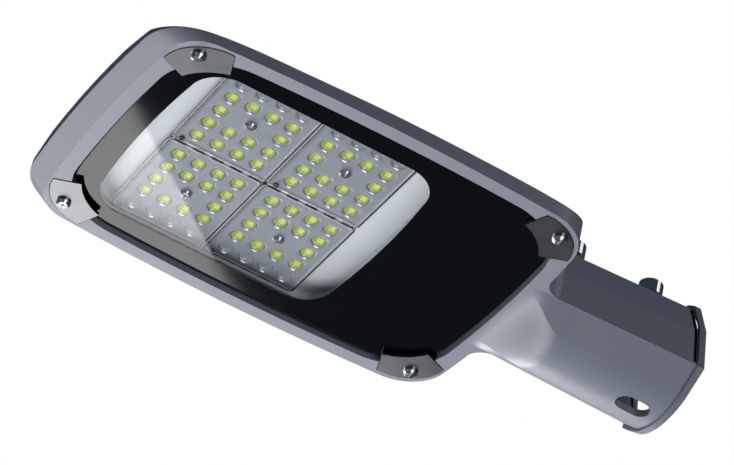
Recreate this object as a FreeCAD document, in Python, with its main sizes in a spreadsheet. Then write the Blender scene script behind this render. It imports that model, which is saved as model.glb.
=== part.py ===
import FreeCAD, Part
import math
import os
import re

import Sketcher

# LED street light head: a cast housing with a faceted back, a recessed flat glass held by four corner
# clips, four LED modules with moulded lens plates, the driver bay and a pole socket with a collar.
# Frame, in millimetres: origin on the axis of the pole socket at the mouth of its wall, +X out of the
# socket, +Z up. The glass faces down. Heights called "rise" are measured up from the rim plane, which
# is the flat face around the glass.

doc = FreeCAD.newDocument("street_light_head")
sheet = doc.addObject("Spreadsheet::Sheet", "Sizes")

# Driving sizes, one row each: the alias, the value and what it is.
sizes = [
    ("rim_drop", 18, "rim plane below the socket axis"),
    # plan outline of the head
    ("head_width", 192, "widest place of the head"),
    ("head_rear_x", -96, "rear end of the head"),
    ("head_tip_x", -359.1, "tip end of the head"),
    ("bow_x", -215, "where the sides are widest"),
    ("side_radius", 1380, "bow of the long sides"),
    ("tip_radius", 810, "bow of the tip end"),
    ("rear_radius", 800, "bow of the rear end"),
    ("corner_radius", 28, "plan corners of the head"),
    ("bevel_run", 11.5, "tip bevel, along X"),
    ("bevel_rise", 5, "tip bevel, upward"),
    ("bevel_corner_radius", 21, "corners of the rim plane at the bevel"),
    ("web_radius", 12, "concave corner between head and neck"),
    ("web_start", 1.5, "start of the concave corner inside the head's rear end"),
    ("web_root", 6, "part of the concave corner inside the head"),
    ("block_height", 60, "block that the back's sections cut"),
    # glass opening
    ("opening_side", 8.6, "rim width along the sides"),
    ("opening_tip", 19.9, "rim width at the tip"),
    ("opening_rear", 8.6, "rim width at the rear"),
    ("opening_corner", 40, "corner radius of the opening"),
    ("glass_gap", 1.0, "play around the glass"),
    ("glass_recess", 3.0, "glass face above the rim plane"),
    ("glass_thickness", 4.0, "glass"),
    ("glass_edge", 0.6, "ground edge of the glass"),
    ("border_thickness", 0.15, "black enamel on the outside of the glass"),
    ("window_end_inset", 4.35, "clear window inside the bay's ends"),
    ("window_side_inset", 5.5, "clear window inside the bay's sides"),
    ("window_corner", 20, "window corners"),
    ("window_bow", 543, "bow of the window's ends"),
    ("gasket_thickness", 1.9, "glass gasket"),
    ("gasket_inset", 1.0, "gasket edge inside the glass edge"),
    ("gasket_width", 3.4, "gasket"),
    # LED bay and modules
    ("bay_tip_gap", 31.1, "tip of the head to the LED bay"),
    ("bay_rear_gap", 78, "LED bay to the rear end of the head"),
    ("bay_side_gap", 20, "widest side of the head to the LED bay"),
    ("bay_corner", 19, "LED bay corners"),
    ("bay_ceiling", 16.2, "rise of the LED bay's ceiling"),
    ("tray_play", 0.8, "tray edge to bay wall"),
    ("tray_sheet", 1.0, "tray sheet"),
    ("tray_room_x", 18.52, "lens plates to the tray's end walls"),
    ("tray_room_y", 1.18, "lens plates to the tray's side walls"),
    ("module_gap_x", 0.96, "between lens plates along X"),
    ("module_gap_y", 0.84, "between lens plates along Y"),
    ("lens_margin_x", 10.1, "outer lens centres to the plate's ends"),
    ("lens_margin_y", 10.22, "outer lens centres to the plate's sides"),
    ("module_corner", 3.0, "lens plate corners"),
    ("board_thickness", 1.6, "LED board"),
    ("board_inset", 0.8, "board edge inside the lens plate edge"),
    ("chip_side", 3.5, "LED chip"),
    ("chip_height", 0.7, "LED chip"),
    ("seal_height", 1.2, "seal between lens plate and board"),
    ("seal_width", 1.8, "seal"),
    ("seal_inset", 1.6, "seal edge inside the plate edge"),
    ("plate_thickness", 1.4, "lens plate"),
    ("dome_radius", 4.0, "lens dome at its foot"),
    ("dome_height", 3.2, "lens dome"),
    ("dome_bevel", 2.0, "bevel around the dome's crown"),
    ("nub_radius", 1.6, "lead nub on the lens plate"),
    ("nub_height", 1.2, "lead nub"),
    ("lens_hole_radius", 1.7, "screw hole in plate, board and tray"),
    # driver bay and what is in it
    ("skin", 3.6, "wall of the driver bay's roof"),
    ("driver_bay_front", 4.0, "wall between the LED bay and the driver bay"),
    ("driver_bay_rear_x", -108, "rear wall of the driver bay"),
    ("driver_bay_width", 158, "driver bay along Y"),
    ("driver_bay_corner", 12, "driver bay corners"),
    ("lead_notch_width", 14, "opening for leads between the bays"),
    ("lead_notch_y", 48, "where the leads pass"),
    ("driver_length", 100, "driver along Y"),
    ("driver_width", 42, "driver along X"),
    ("driver_height", 18, "driver"),
    ("driver_clearance", 3.0, "driver to the bay's front wall"),
    ("driver_lift", 9.0, "rise of the driver's underside"),
    ("driver_edge", 2.0, "driver case edges"),
    ("ear_length", 9.0, "driver ears"),
    ("ear_width", 16.0, "driver ears"),
    ("ear_thickness", 1.8, "driver ears"),
    ("post_radius", 5.0, "posts that carry the driver"),
    ("terminal_length", 26, "terminal block along Y"),
    ("terminal_depth", 12, "terminal block along X"),
    ("terminal_height", 14, "terminal block"),
    ("terminal_y", -27, "terminal block centre"),
    ("terminal_pitch", 8, "terminal openings"),
    ("terminal_hole", 2.4, "terminal openings, radius"),
    ("protector_length", 30, "surge protector along Y"),
    ("protector_depth", 12, "surge protector along X"),
    ("protector_height", 17, "surge protector"),
    ("protector_y", 29, "surge protector centre"),
    ("parts_clearance", 1.0, "pieces in the driver bay, above the glass gasket"),
    # neck and socket
    ("neck_rear_x", -84, "inner end of the pole bore"),
    ("neck_foot_x", -92, "section of the neck inside the head"),
    ("neck_corner_y", 36.3, "lower side edge of the neck at its mouth"),
    ("neck_side_y", 32.0, "middle side edge at the mouth"),
    ("neck_side_z", 7.0, "middle side edge, above the axis"),
    ("neck_shoulder_y", 22.0, "upper side edge at the mouth"),
    ("neck_shoulder_z", 28.0, "upper side edge, above the axis"),
    ("neck_top_y", 15.0, "flat top of the neck, half width"),
    ("neck_top_z", 33.4, "top of the neck"),
    ("neck_draft", 3.0, "narrowing of each side towards the head"),
    ("neck_fall", 1.8, "fall of the top towards the head"),
    ("belly_edge_y", 21.3, "lower crease at the mouth"),
    ("belly_edge_z", -29.2, "lower crease, from the axis"),
    ("belly_z", -34.8, "lowest line of the neck at the mouth"),
    ("belly_rise", 1.2, "rise of the underside towards the head"),
    ("belly_start_x", -103, "where the underside leaves the rim plane"),
    ("belly_full_x", -73, "where the underside is full"),
    ("bore_radius", 30.0, "pole bore at the mouth"),
    ("bore_depth", 26, "length of the wide bore"),
    ("inner_bore_radius", 26.5, "narrow bore for a smaller pole"),
    ("slot_length", 20.6, "slot in the underside"),
    ("slot_width", 13.0, "slot in the underside"),
    ("slot_x", -15.5, "slot centre"),
    ("slit_width", 1.7, "slit beside the collar"),
    ("slit_depth", 1.2, "slit beside the collar"),
    ("slit_wall", 0.5, "wall between the slit and the collar"),
    ("slit_foot", 1.5, "lower end of the slit above the side edge"),
    ("slit_reach", 8, "slit cutter beyond the neck"),
    ("collar_thickness", 4.0, "collar at the mouth"),
    ("collar_lip", 1.8, "collar beyond the neck"),
    ("collar_radius", 32.4, "inside of the collar"),
    ("boss_radius", 8.6, "bosses of the clamp bolts"),
    ("boss_top_z", 36.8, "top of the bosses"),
    ("bolt_front_x", -16.5, "clamp bolt near the mouth"),
    ("bolt_rear_x", -67.2, "clamp bolt near the head"),
    ("bolt_radius", 4.0, "clamp bolt shank"),
    ("bolt_head_radius", 7.0, "clamp bolt head"),
    ("bolt_head_height", 8.6, "clamp bolt head"),
    ("bolt_head_z", 41.0, "seat side of the clamp bolt heads"),
    ("bolt_edge", 0.8, "bevel of the bolt head"),
    ("bolt_key", 3.5, "hexagon key in the bolt head, across corners, half"),
    ("bolt_key_depth", 4.0, "hexagon key"),
    ("bolt_tip_gap", 0.3, "bolt tips above the wall of the bore"),
    ("thread_gap", 0.1, "play between a screw and its hole"),
    ("gland_room_radius", 11, "room behind the bore for the gland"),
    ("gland_room_x", -100, "wall that carries the gland"),
    ("gland_thread", 6.0, "gland thread radius"),
    ("gland_hex", 9.6, "gland body across corners, half"),
    ("gland_hex_length", 6.0, "gland body"),
    ("gland_dome_length", 7.0, "gland dome"),
    ("gland_dome_radius", 7.6, "gland dome at its foot"),
    ("gland_mouth_radius", 5.4, "gland dome at its mouth"),
    ("gland_hole", 3.4, "cable passage"),
    ("nut_hex", 9.2, "gland nut across corners, half"),
    ("nut_length", 4.0, "gland nut"),
    # cooling fins
    ("fin_count", 9, "fins"),
    ("fin_span", 100, "from the first fin to the last"),
    ("fin_thickness", 2.6, "fin"),
    ("fin_top_z", 15.0, "top of the fins"),
    ("fin_tip_x", -318, "fins at the tip"),
    ("fin_rear_x", -176, "fins at the driver hump"),
    ("fin_slope", 17, "sloping end of a fin, along X"),
    ("fin_root_z", -1.0, "foot of the fins, inside the wall"),
    # corner clips
    ("screw_tip_inset", 28.4, "clip screw from the tip"),
    ("screw_rear_inset", 17.4, "clip screw from the rear end"),
    ("screw_side_inset", 18.0, "clip screw from the widest side"),
    ("clip_tip_angle", 132.5, "way a tip clip points"),
    ("clip_rear_angle", 47.5, "way a rear clip points"),
    ("clip_inner", 33.8, "inner edge from the clip's own centre"),
    ("clip_outer", 49.0, "outer corners from the clip's own centre"),
    ("clip_screw", 46.6, "screw from the clip's own centre"),
    ("clip_spread", 22.5, "half angle of the clip"),
    ("clip_outer_radius", 27.0, "outer edge"),
    ("clip_thickness", 2.0, "clip plate"),
    ("clip_seat", 1.7, "recess that a clip lies in"),
    ("clip_gap", 0.5, "groove around a clip"),
    ("pad_inset", 2.5, "pad inside the clip edge"),
    ("pad_length", 4.0, "pad, along the clip's axis"),
    ("clip_screw_shank", 2.0, "clip screw shank"),
    ("clip_screw_length", 7.5, "clip screw shank"),
    ("clip_screw_head", 4.0, "clip screw head"),
    ("clip_screw_head_height", 2.4, "clip screw head"),
    ("lens_screw_shank", 1.5, "lens screw shank"),
    ("lens_screw_length", 8.5, "lens screw shank"),
    ("lens_screw_head", 3.3, "lens screw head"),
    ("lens_screw_head_height", 2.0, "lens screw head"),
    ("driver_screw_shank", 2.0, "driver screw shank"),
    ("driver_screw_length", 6.0, "driver screw shank"),
    ("driver_screw_head", 3.8, "driver screw head"),
    ("driver_screw_head_height", 2.2, "driver screw head"),
    ("recess_arm", 2.3, "arm of the cross recess"),
    ("recess_width", 0.9, "width of the cross recess"),
    ("recess_depth", 1.4, "depth of the cross recess"),
]

# Cross sections of the cast back, from the tip to the neck: place along X, half width of the flat
# top, its height, half width of the shoulder, its height, and the height at the reach of the section.
crown_stations = {
    "ahead": (-368, 40, -9.0, 66, -11.5, -22.0),
    "nose": (-352, 44, -5.5, 70, -8.5, -19.0),
    "front": (-321, 54, 2.0, 75, -1.5, -15.7),
    "brow": (-284, 58.5, 2.9, 76.2, -0.4, -13.8),
    "middle": (-246, 62, 3.5, 77, 0.5, -12.4),
    "back": (-206, 61, 7.3, 74.5, 3.8, -11.9),
    "rise": (-166, 58, 13.0, 70, 8.5, -12.4),
    "hump": (-121, 44, 23.0, 60, 16.0, -14.4),
    "root": (-82, 19.5, 27.0, 30, 8.0, -15.5),
}
station_parts = ("x", "top_y", "top_z", "side_y", "side_z", "edge_z")
for station, values in crown_stations.items():
    for part, number in zip(station_parts, values):
        sizes.append(("%s_%s" % (station, part), number, "section '%s' of the back" % station))
sizes.append(("crown_reach", 100, "half width of the back's sections"))
sizes.append(("crown_depth", 40, "depth of the back's sections below the rim plane"))

# Sizes that follow from others.
sizes += [
    ("bay_length", "=head_rear_x - head_tip_x - bay_tip_gap - bay_rear_gap", "LED bay along X"),
    ("bay_width", "=head_width - 2 * bay_side_gap", "LED bay along Y"),
    ("array_x", "=head_tip_x + bay_tip_gap + bay_length / 2", "centre of the LED array"),
    ("window_length", "=bay_length - 2 * window_end_inset", "clear window along X"),
    ("window_width", "=bay_width - 2 * window_side_inset", "clear window along Y"),
    ("tray_depth", "=bay_ceiling - tray_sheet - glass_recess - glass_thickness - gasket_thickness"
     " - parts_clearance", "tray wall, which ends above the glass gasket"),
    ("module_length", "=(bay_length - module_gap_x) / 2 - tray_play - tray_sheet - tray_room_x",
     "lens plate along X"),
    ("module_width", "=(bay_width - module_gap_y) / 2 - tray_play - tray_sheet - tray_room_y",
     "lens plate along Y"),
    ("module_x", "=(module_length + module_gap_x) / 2", "module centre from the array centre"),
    ("module_y", "=(module_width + module_gap_y) / 2", "module centre from the array centre"),
    ("pitch_x", "=(module_length - 2 * lens_margin_x) / 3", "lens pitch along X"),
    ("pitch_y", "=(module_width - 2 * lens_margin_y) / 4", "lens pitch along Y"),
]

for row, (alias, number, note) in enumerate(sizes, start=1):
    sheet.set("A%d" % row, note)
    sheet.set("B%d" % row, str(number))
    sheet.setAlias("B%d" % row, alias)
doc.recompute()

aliases = {alias for alias, number, note in sizes}


def cells(formula):
    """Write a formula's aliases the way the document's expressions need them."""
    return re.sub(r"[A-Za-z_][A-Za-z_0-9]*",
                  lambda word: "Sizes." + word.group() if word.group() in aliases else word.group(),
                  str(formula))


def value(formula):
    """Number that a formula gives with the present sizes."""
    return float(sheet.evalExpression(cells(formula)))


def bind(thing, **formulas):
    """Tie properties to formulas. A double underscore in a name stands for a dot."""
    for name, formula in formulas.items():
        thing.setExpression(name.replace("__", "."), cells(formula))


def newBody(name):
    return doc.addObject("PartDesign::Body", name)


def place(thing, x="0", y="0", z="0", turn=None):
    """Tie the place of an object, and its turn about Z in degrees, to formulas."""
    bind(thing, Placement__Base__x=x, Placement__Base__y=y, Placement__Base__z=z)
    if turn is not None:
        thing.Placement.Rotation = FreeCAD.Rotation(FreeCAD.Vector(0, 0, 1), value(turn))
        bind(thing, Placement__Rotation__Angle=turn)


def newSketch(body, plane, offset="0"):
    """Sketch on one of the body's own origin planes, moved along its normal."""
    sketch = body.newObject("Sketcher::SketchObject", body.Name + "_sketch")
    origin = [item for item in body.Origin.OriginFeatures if item.Role == plane][0]
    sketch.AttachmentSupport = [(origin, "")]
    sketch.MapMode = "FlatFace"
    bind(sketch, AttachmentOffset__Base__z=offset)
    return sketch


def arcBetween(start, end, radius):
    """Short arc from start to end. A positive radius turns left, a negative one right."""
    if radius < 0:
        return arcBetween(end, start, -radius)
    chord = end - start
    height = math.sqrt(max(radius ** 2 - (chord.Length / 2) ** 2, 0.0))
    left = FreeCAD.Vector(-chord.y, chord.x, 0).normalize()
    centre = (start + end) / 2 + left * height
    first = math.atan2(start.y - centre.y, start.x - centre.x)
    last = math.atan2(end.y - centre.y, end.x - centre.x)
    if last < first:
        last += 2 * math.pi
    return Part.ArcOfCircle(Part.Circle(centre, FreeCAD.Vector(0, 0, 1), radius), first, last)


def fixPoint(sketch, line, end, x, y):
    """Hold a point of the sketch at two formulas."""
    for kind, axis, formula in (("DistanceX", -2, x), ("DistanceY", -1, y)):
        if formula == "0":
            sketch.addConstraint(Sketcher.Constraint("PointOnObject", line, end, axis))
        else:
            number = sketch.addConstraint(
                Sketcher.Constraint(kind, -1, 1, line, end, value(formula)))
            sketch.setExpression("Constraints[%d]" % number, cells(formula))


def setRadius(sketch, line, formula):
    number = sketch.addConstraint(Sketcher.Constraint("Radius", line, value(formula)))
    sketch.setExpression("Constraints[%d]" % number, cells(formula))


def drawOutline(sketch, corners):
    """Closed outline. Each corner is (x, y), or (x, y, radius) where an arc leaves for the next."""
    points = [FreeCAD.Vector(value(corner[0]), value(corner[1]), 0) for corner in corners]
    first = sketch.GeometryCount
    count = len(corners)
    ends = []
    for index, corner in enumerate(corners):
        start = points[index]
        end = points[(index + 1) % count]
        if len(corner) == 2:
            sketch.addGeometry(Part.LineSegment(start, end), False)
            ends.append((1, 2))
        else:
            radius = value(corner[2])
            sketch.addGeometry(arcBetween(start, end, radius), False)
            ends.append((1, 2) if radius > 0 else (2, 1))
    for index in range(count):
        after = (index + 1) % count
        sketch.addConstraint(Sketcher.Constraint(
            "Coincident", first + index, ends[index][1], first + after, ends[after][0]))
    for index, corner in enumerate(corners):
        fixPoint(sketch, first + index, ends[index][0], str(corner[0]), str(corner[1]))
        if len(corner) == 3:
            setRadius(sketch, first + index, str(corner[2]).lstrip("-"))


def drawCircle(sketch, x, y, radius):
    line = sketch.addGeometry(
        Part.Circle(FreeCAD.Vector(value(x), value(y), 0), FreeCAD.Vector(0, 0, 1), value(radius)), False)
    fixPoint(sketch, line, 3, x, y)
    setRadius(sketch, line, radius)


def drawRounded(sketch, low_x, high_x, low_y, high_y, radius):
    """Rectangle with round corners."""
    drawOutline(sketch, [
        ("%s + %s" % (low_x, radius), low_y),
        ("%s - %s" % (high_x, radius), low_y, radius),
        (high_x, "%s + %s" % (low_y, radius)),
        (high_x, "%s - %s" % (high_y, radius), radius),
        ("%s - %s" % (high_x, radius), high_y),
        ("%s + %s" % (low_x, radius), high_y, radius),
        (low_x, "%s - %s" % (high_y, radius)),
        (low_x, "%s + %s" % (low_y, radius), radius),
    ])


def drawPolygon(sketch, sides, radius, turn=0):
    """Regular polygon around the sketch's origin, its corners at the radius."""
    drawOutline(sketch, [
        ("%s * cos(%g)" % (radius, turn + 360.0 / sides * step),
         "%s * sin(%g)" % (radius, turn + 360.0 / sides * step)) for step in range(sides)])


def drawHead(sketch, side="0", tip="0", rear="0", corner="corner_radius", rear_corner=None):
    """Plan outline of the head, moved inwards: four long arcs joined by four tangent corner arcs."""
    half = value("head_width / 2")
    side_radius = value("side_radius - (%s)" % side)
    tip_radius = value("tip_radius - (%s)" % tip)
    rear_radius = value("rear_radius - (%s)" % rear)
    rear_corner = rear_corner or corner
    side_centre = FreeCAD.Vector(value("bow_x"), half - value("side_radius"), 0)
    tip_centre = FreeCAD.Vector(value("head_tip_x + tip_radius"), 0, 0)
    rear_centre = FreeCAD.Vector(value("head_rear_x - rear_radius"), 0, 0)

    def cornerCentre(end_centre, end_radius, towards, radius):
        # The corner circle touches both long arcs from the inside.
        to_side = side_radius - radius
        to_end = end_radius - radius
        line = side_centre - end_centre
        along = (to_end ** 2 - to_side ** 2 + line.Length ** 2) / (2 * line.Length)
        away = math.sqrt(to_end ** 2 - along ** 2)
        unit = line.normalize()
        across = FreeCAD.Vector(-unit.y, unit.x, 0)
        options = [end_centre + unit * along + across * away, end_centre + unit * along - across * away]
        return max(options, key=lambda point: towards * point.x)

    tip_round = value(corner)
    rear_round = value(rear_corner)
    tip_middle = cornerCentre(tip_centre, tip_radius, -1, tip_round)
    rear_middle = cornerCentre(rear_centre, rear_radius, 1, rear_round)

    def angle(centre, through):
        return math.atan2(through.y - centre.y, through.x - centre.x)

    def flip(point):
        return FreeCAD.Vector(point.x, -point.y, 0)

    rear_half = angle(rear_centre, rear_middle)
    side_low = angle(side_centre, rear_middle)
    side_high = angle(side_centre, tip_middle)
    tip_high = math.pi - angle(FreeCAD.Vector(0, 0, 0),
                               FreeCAD.Vector(tip_centre.x - tip_middle.x, tip_middle.y, 0))
    turn = 2 * math.pi
    arcs = [
        (rear_centre, rear_radius, -rear_half, rear_half),
        (rear_middle, rear_round, rear_half, side_low),
        (side_centre, side_radius, side_low, side_high),
        (tip_middle, tip_round, side_high, tip_high),
        (tip_centre, tip_radius, tip_high, turn - tip_high),
        (flip(tip_middle), tip_round, turn - tip_high, turn - side_high),
        (flip(side_centre), side_radius, turn - side_high, turn - side_low),
        (flip(rear_middle), rear_round, turn - side_low, turn - rear_half),
    ]
    first = sketch.GeometryCount
    for centre, size, start, end in arcs:
        circle = Part.Circle(centre, FreeCAD.Vector(0, 0, 1), size)
        sketch.addGeometry(Part.ArcOfCircle(circle, start, end), False)
    for index in range(8):
        after = (index + 1) % 8
        sketch.addConstraint(Sketcher.Constraint("Tangent", first + index, 2, first + after, 1))
    fixPoint(sketch, first, 3, "head_rear_x - rear_radius", "0")
    setRadius(sketch, first, "rear_radius - (%s)" % rear)
    fixPoint(sketch, first + 2, 3, "bow_x", "head_width / 2 - side_radius")
    setRadius(sketch, first + 2, "side_radius - (%s)" % side)
    fixPoint(sketch, first + 4, 3, "head_tip_x + tip_radius", "0")
    setRadius(sketch, first + 4, "tip_radius - (%s)" % tip)
    fixPoint(sketch, first + 6, 3, "bow_x", "side_radius - head_width / 2")
    setRadius(sketch, first + 6, "side_radius - (%s)" % side)
    for index, size in ((1, rear_corner), (3, corner), (5, corner), (7, rear_corner)):
        setRadius(sketch, first + index, size)


def addPad(body, sketch, length, down=False):
    pad = body.newObject("PartDesign::Pad", body.Name + "_pad")
    pad.Profile = sketch
    pad.Reversed = down
    bind(pad, Length=length)
    return pad


def addPocket(body, sketch, length, up=False):
    pocket = body.newObject("PartDesign::Pocket", body.Name + "_pocket")
    pocket.Profile = sketch
    pocket.Reversed = up
    bind(pocket, Length=length)
    return pocket


def addLoft(body, sketches, ruled=False):
    loft = body.newObject("PartDesign::AdditiveLoft", body.Name + "_loft")
    loft.Profile = sketches[0]
    loft.Sections = sketches[1:]
    loft.Ruled = ruled
    return loft


def addRevolution(body, sketch, axis):
    turned = body.newObject("PartDesign::Revolution", body.Name + "_turned")
    turned.Profile = sketch
    turned.ReferenceAxis = (sketch, [axis])
    turned.Angle = 360
    return turned


def addPattern(body, features, axis, length, count):
    pattern = body.newObject("PartDesign::LinearPattern", body.Name + "_row")
    pattern.Originals = features
    pattern.Direction = ([item for item in body.Origin.OriginFeatures if item.Role == axis][0], [""])
    bind(pattern, Length=length, Occurrences=count)
    body.Tip = pattern
    return pattern


def padded(name, plane, offset, draw, length, down=False):
    """Body with one pad, whose sketch is drawn by a function."""
    body = newBody(name)
    sketch = newSketch(body, plane, offset)
    draw(sketch)
    addPad(body, sketch, length, down)
    return body


def fused(name, things):
    joined = doc.addObject("Part::MultiFuse", name)
    joined.Shapes = things
    return joined


def common(name, things):
    shared = doc.addObject("Part::MultiCommon", name)
    shared.Shapes = things
    return shared


def cut(name, base, tool):
    rest = doc.addObject("Part::Cut", name)
    rest.Base = base
    rest.Tool = tool
    return rest


def group(name, things):
    gathered = doc.addObject("Part::Compound", name)
    gathered.Links = things
    return gathered


parts = []


def keep(thing, label):
    """Name a finished piece, which is then written to a file of that name."""
    thing.Label = label
    parts.append(thing)
    return thing


def rise(formula):
    """Height of something that is measured up from the rim plane."""
    return "%s - rim_drop" % formula


# The cast back, as sections across the head, with the cooling fins standing on it.

def crownSections(body, drop):
    sketches = []
    for station in crown_stations:
        sketch = newSketch(body, "YZ_Plane", station + "_x")
        top = "%s_top_z - (%s)" % (station, drop)
        side = "%s_side_z - (%s)" % (station, drop)
        edge = "%s_edge_z - (%s)" % (station, drop)
        drawOutline(sketch, [
            ("-crown_reach", "-rim_drop - crown_depth"),
            ("crown_reach", "-rim_drop - crown_depth"),
            ("crown_reach", edge),
            (station + "_side_y", side),
            (station + "_top_y", top),
            ("-%s_top_y" % station, top),
            ("-%s_side_y" % station, side),
            ("-crown_reach", edge),
        ])
        sketches.append(sketch)
    return sketches


def crownBody():
    body = newBody("crown")
    addLoft(body, crownSections(body, "0"))
    sketch = newSketch(body, "XZ_Plane", "fin_span / 2 - fin_thickness / 2")
    drawOutline(sketch, [
        ("fin_tip_x", "fin_root_z"),
        ("fin_rear_x", "fin_root_z"),
        ("fin_rear_x", "rise_top_z"),
        ("fin_rear_x - fin_slope / 2", "fin_top_z"),
        ("fin_tip_x + fin_slope", "fin_top_z"),
    ])
    fin = addPad(body, sketch, "fin_thickness")
    addPattern(body, [fin], "Y_Axis", "fin_span", "fin_count")
    return body


def loweredCrown():
    body = newBody("crown_inside")
    addLoft(body, crownSections(body, "skin"))
    return body


# Solid block of the head: the bevel at the tip, the upright side walls and the concave corners
# that lead into the neck.

def headBlock():
    body = newBody("head_block")
    lower = newSketch(body, "XY_Plane", "-rim_drop")
    drawHead(lower, tip="bevel_run", corner="bevel_corner_radius", rear_corner="corner_radius")
    upper = newSketch(body, "XY_Plane", rise("bevel_rise"))
    drawHead(upper)
    addLoft(body, [lower, upper], ruled=True)
    wall = newSketch(body, "XY_Plane", rise("bevel_rise"))
    drawHead(wall)
    addPad(body, wall, "block_height")
    for hand in ("", "-"):
        web = newSketch(body, "XY_Plane", "-rim_drop")
        turn = "web_radius" if hand == "" else "-web_radius"
        # The arc starts on the rear edge of the head and ends on the lower side edge of the neck.
        side = "(neck_corner_y - neck_draft)"
        drawOutline(web, [
            ("head_rear_x - web_root", hand + "%s / 2" % side),
            ("head_rear_x - web_root", hand + "(%s + web_radius)" % side),
            ("head_rear_x - web_start", hand + "(%s + web_radius)" % side, turn),
            ("head_rear_x - web_start + web_radius", hand + side),
            ("head_rear_x - web_start + web_radius", hand + "%s / 2" % side),
        ])
        addPad(body, web, "block_height")
    return body


# The neck: facetted sides and top, the ridge that runs it into the back, and the round underside.

def neckSection(body, x, narrower, lower, foot="-rim_drop"):
    sketch = newSketch(body, "YZ_Plane", x)
    half = [
        ("neck_corner_y - (%s)" % narrower, foot),
        ("neck_side_y - (%s)" % narrower, "neck_side_z - (%s)" % lower),
        ("neck_shoulder_y - (%s)" % narrower, "neck_shoulder_z - (%s)" % lower),
        ("neck_top_y - (%s)" % narrower, "neck_top_z - (%s)" % lower),
    ]
    mirrored = [("-(%s)" % y, z) for y, z in reversed(half)]
    drawOutline(sketch, half + mirrored)
    return sketch


def neckBody():
    body = newBody("neck")
    mouth = neckSection(body, "0", "0", "0")
    foot = neckSection(body, "neck_foot_x", "neck_draft", "neck_fall")
    addLoft(body, [foot, mouth], ruled=True)
    # The ridge sinks into the back in front of the hump.
    foot = neckSection(body, "neck_foot_x", "neck_draft", "neck_fall")
    sunk = neckSection(body, "rise_x", "neck_draft + 5", "neck_top_z - rise_top_z + 1", "-rim_drop + 4")
    addLoft(body, [sunk, foot], ruled=True)
    return body


def bellySection(body, x, side_y, edge_y, edge_z, low_z):
    """Section of the underside: two flats and an arc between them."""
    sketch = newSketch(body, "YZ_Plane", x)
    half = "(%s)" % edge_y
    sag = "((%s) - (%s))" % (edge_z, low_z)
    radius = "((%s^2 + %s^2) / (2 * %s))" % (half, sag, sag)
    drawOutline(sketch, [
        ("-(%s) + 4" % side_y, "-rim_drop + 6"),
        ("-(%s)" % side_y, "-rim_drop"),
        ("-" + half, edge_z, radius),
        (half, edge_z),
        (side_y, "-rim_drop"),
        ("(%s) - 4" % side_y, "-rim_drop + 6"),
    ])
    return sketch


def bellyBody():
    body = newBody("belly")
    narrow = "neck_corner_y - neck_draft"
    ramp = "(belly_full_x - belly_start_x)"
    edge = "(belly_edge_y - neck_draft * 0.8)"
    depth = "(-rim_drop - belly_edge_z)"
    full = "(-rim_drop - belly_z - belly_rise)"
    # Along the ramp: share of its length, of the crease's depth, of the full depth, and the crease's
    # distance beyond its place on the full section.
    ramp_steps = [(0, 0.004, 0.01, 8.6), (0.3, 0.22, 0.22, 7.0), (0.65, 0.74, 0.69, 2.4), (1, 0.97, 0.96, 0)]
    sections = []
    for along, crease, low, out in ramp_steps:
        sections.append(bellySection(
            body, "belly_start_x + %s * %g" % (ramp, along), narrow, "%s + %g" % (edge, out),
            "-rim_drop - %s * %g" % (depth, crease), "-rim_drop - %s * %g" % (full, low)))
    addLoft(body, sections)
    full_section = bellySection(body, "belly_full_x", narrow, edge, "-rim_drop - %s * 0.97" % depth,
                                "-rim_drop - %s * 0.96" % full)
    mouth = bellySection(body, "0", "neck_corner_y", "belly_edge_y", "belly_edge_z", "belly_z")
    addLoft(body, [full_section, mouth], ruled=True)
    return body


def bossBodies():
    bosses = []
    for name, x in (("boss_front", "bolt_front_x"), ("boss_rear", "bolt_rear_x")):
        boss = doc.addObject("Part::Cylinder", name)
        bind(boss, Radius="boss_radius", Height="boss_top_z - neck_top_z + 6")
        place(boss, x, "0", "neck_top_z - 6")
        bosses.append(boss)
    return bosses


# Room inside the housing.

def openingBody():
    body = newBody("opening")
    sketch = newSketch(body, "XY_Plane", "-rim_drop - 1")
    drawHead(sketch, "opening_side", "opening_tip", "opening_rear", "opening_corner")
    addPad(body, sketch, "1 + glass_recess + glass_thickness + gasket_thickness")
    return body


def ledBay():
    def draw(sketch):
        drawRounded(sketch, "array_x - bay_length / 2", "array_x + bay_length / 2",
                    "-bay_width / 2", "bay_width / 2", "bay_corner")
    return padded("led_bay", "XY_Plane", "-rim_drop", draw, "bay_ceiling")


def driverBay(inside):
    def draw(sketch):
        drawRounded(sketch, "array_x + bay_length / 2 + driver_bay_front", "driver_bay_rear_x",
                    "-driver_bay_width / 2", "driver_bay_width / 2", "driver_bay_corner")
    room = common("driver_room", [padded("driver_bay", "XY_Plane", "-rim_drop", draw, "80"), inside])
    posts = []
    for name, hand in (("post_right", "-"), ("post_left", "")):
        post = doc.addObject("Part::Cylinder", name)
        bind(post, Radius="post_radius", Height="60")
        place(post, driver_x, hand + driver_screw_y, rise("driver_lift + driver_height"))
        posts.append(post)
    return cut("driver_room_round_posts", room, fused("driver_posts", posts))


def leadNotch():
    notch = doc.addObject("Part::Box", "lead_notch")
    bind(notch, Length="driver_bay_front + 8", Width="lead_notch_width", Height="bay_ceiling - 9")
    place(notch, "array_x + bay_length / 2 - 4", "lead_notch_y - lead_notch_width / 2", rise("9"))
    return notch


def along(name, radius, x, length):
    """Cylinder on the socket axis."""
    bar = doc.addObject("Part::Cylinder", name)
    bar.Placement.Rotation = FreeCAD.Rotation(FreeCAD.Vector(0, 1, 0), 90)
    bind(bar, Radius=radius, Height=length, Placement__Base__x=x)
    return bar


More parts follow.
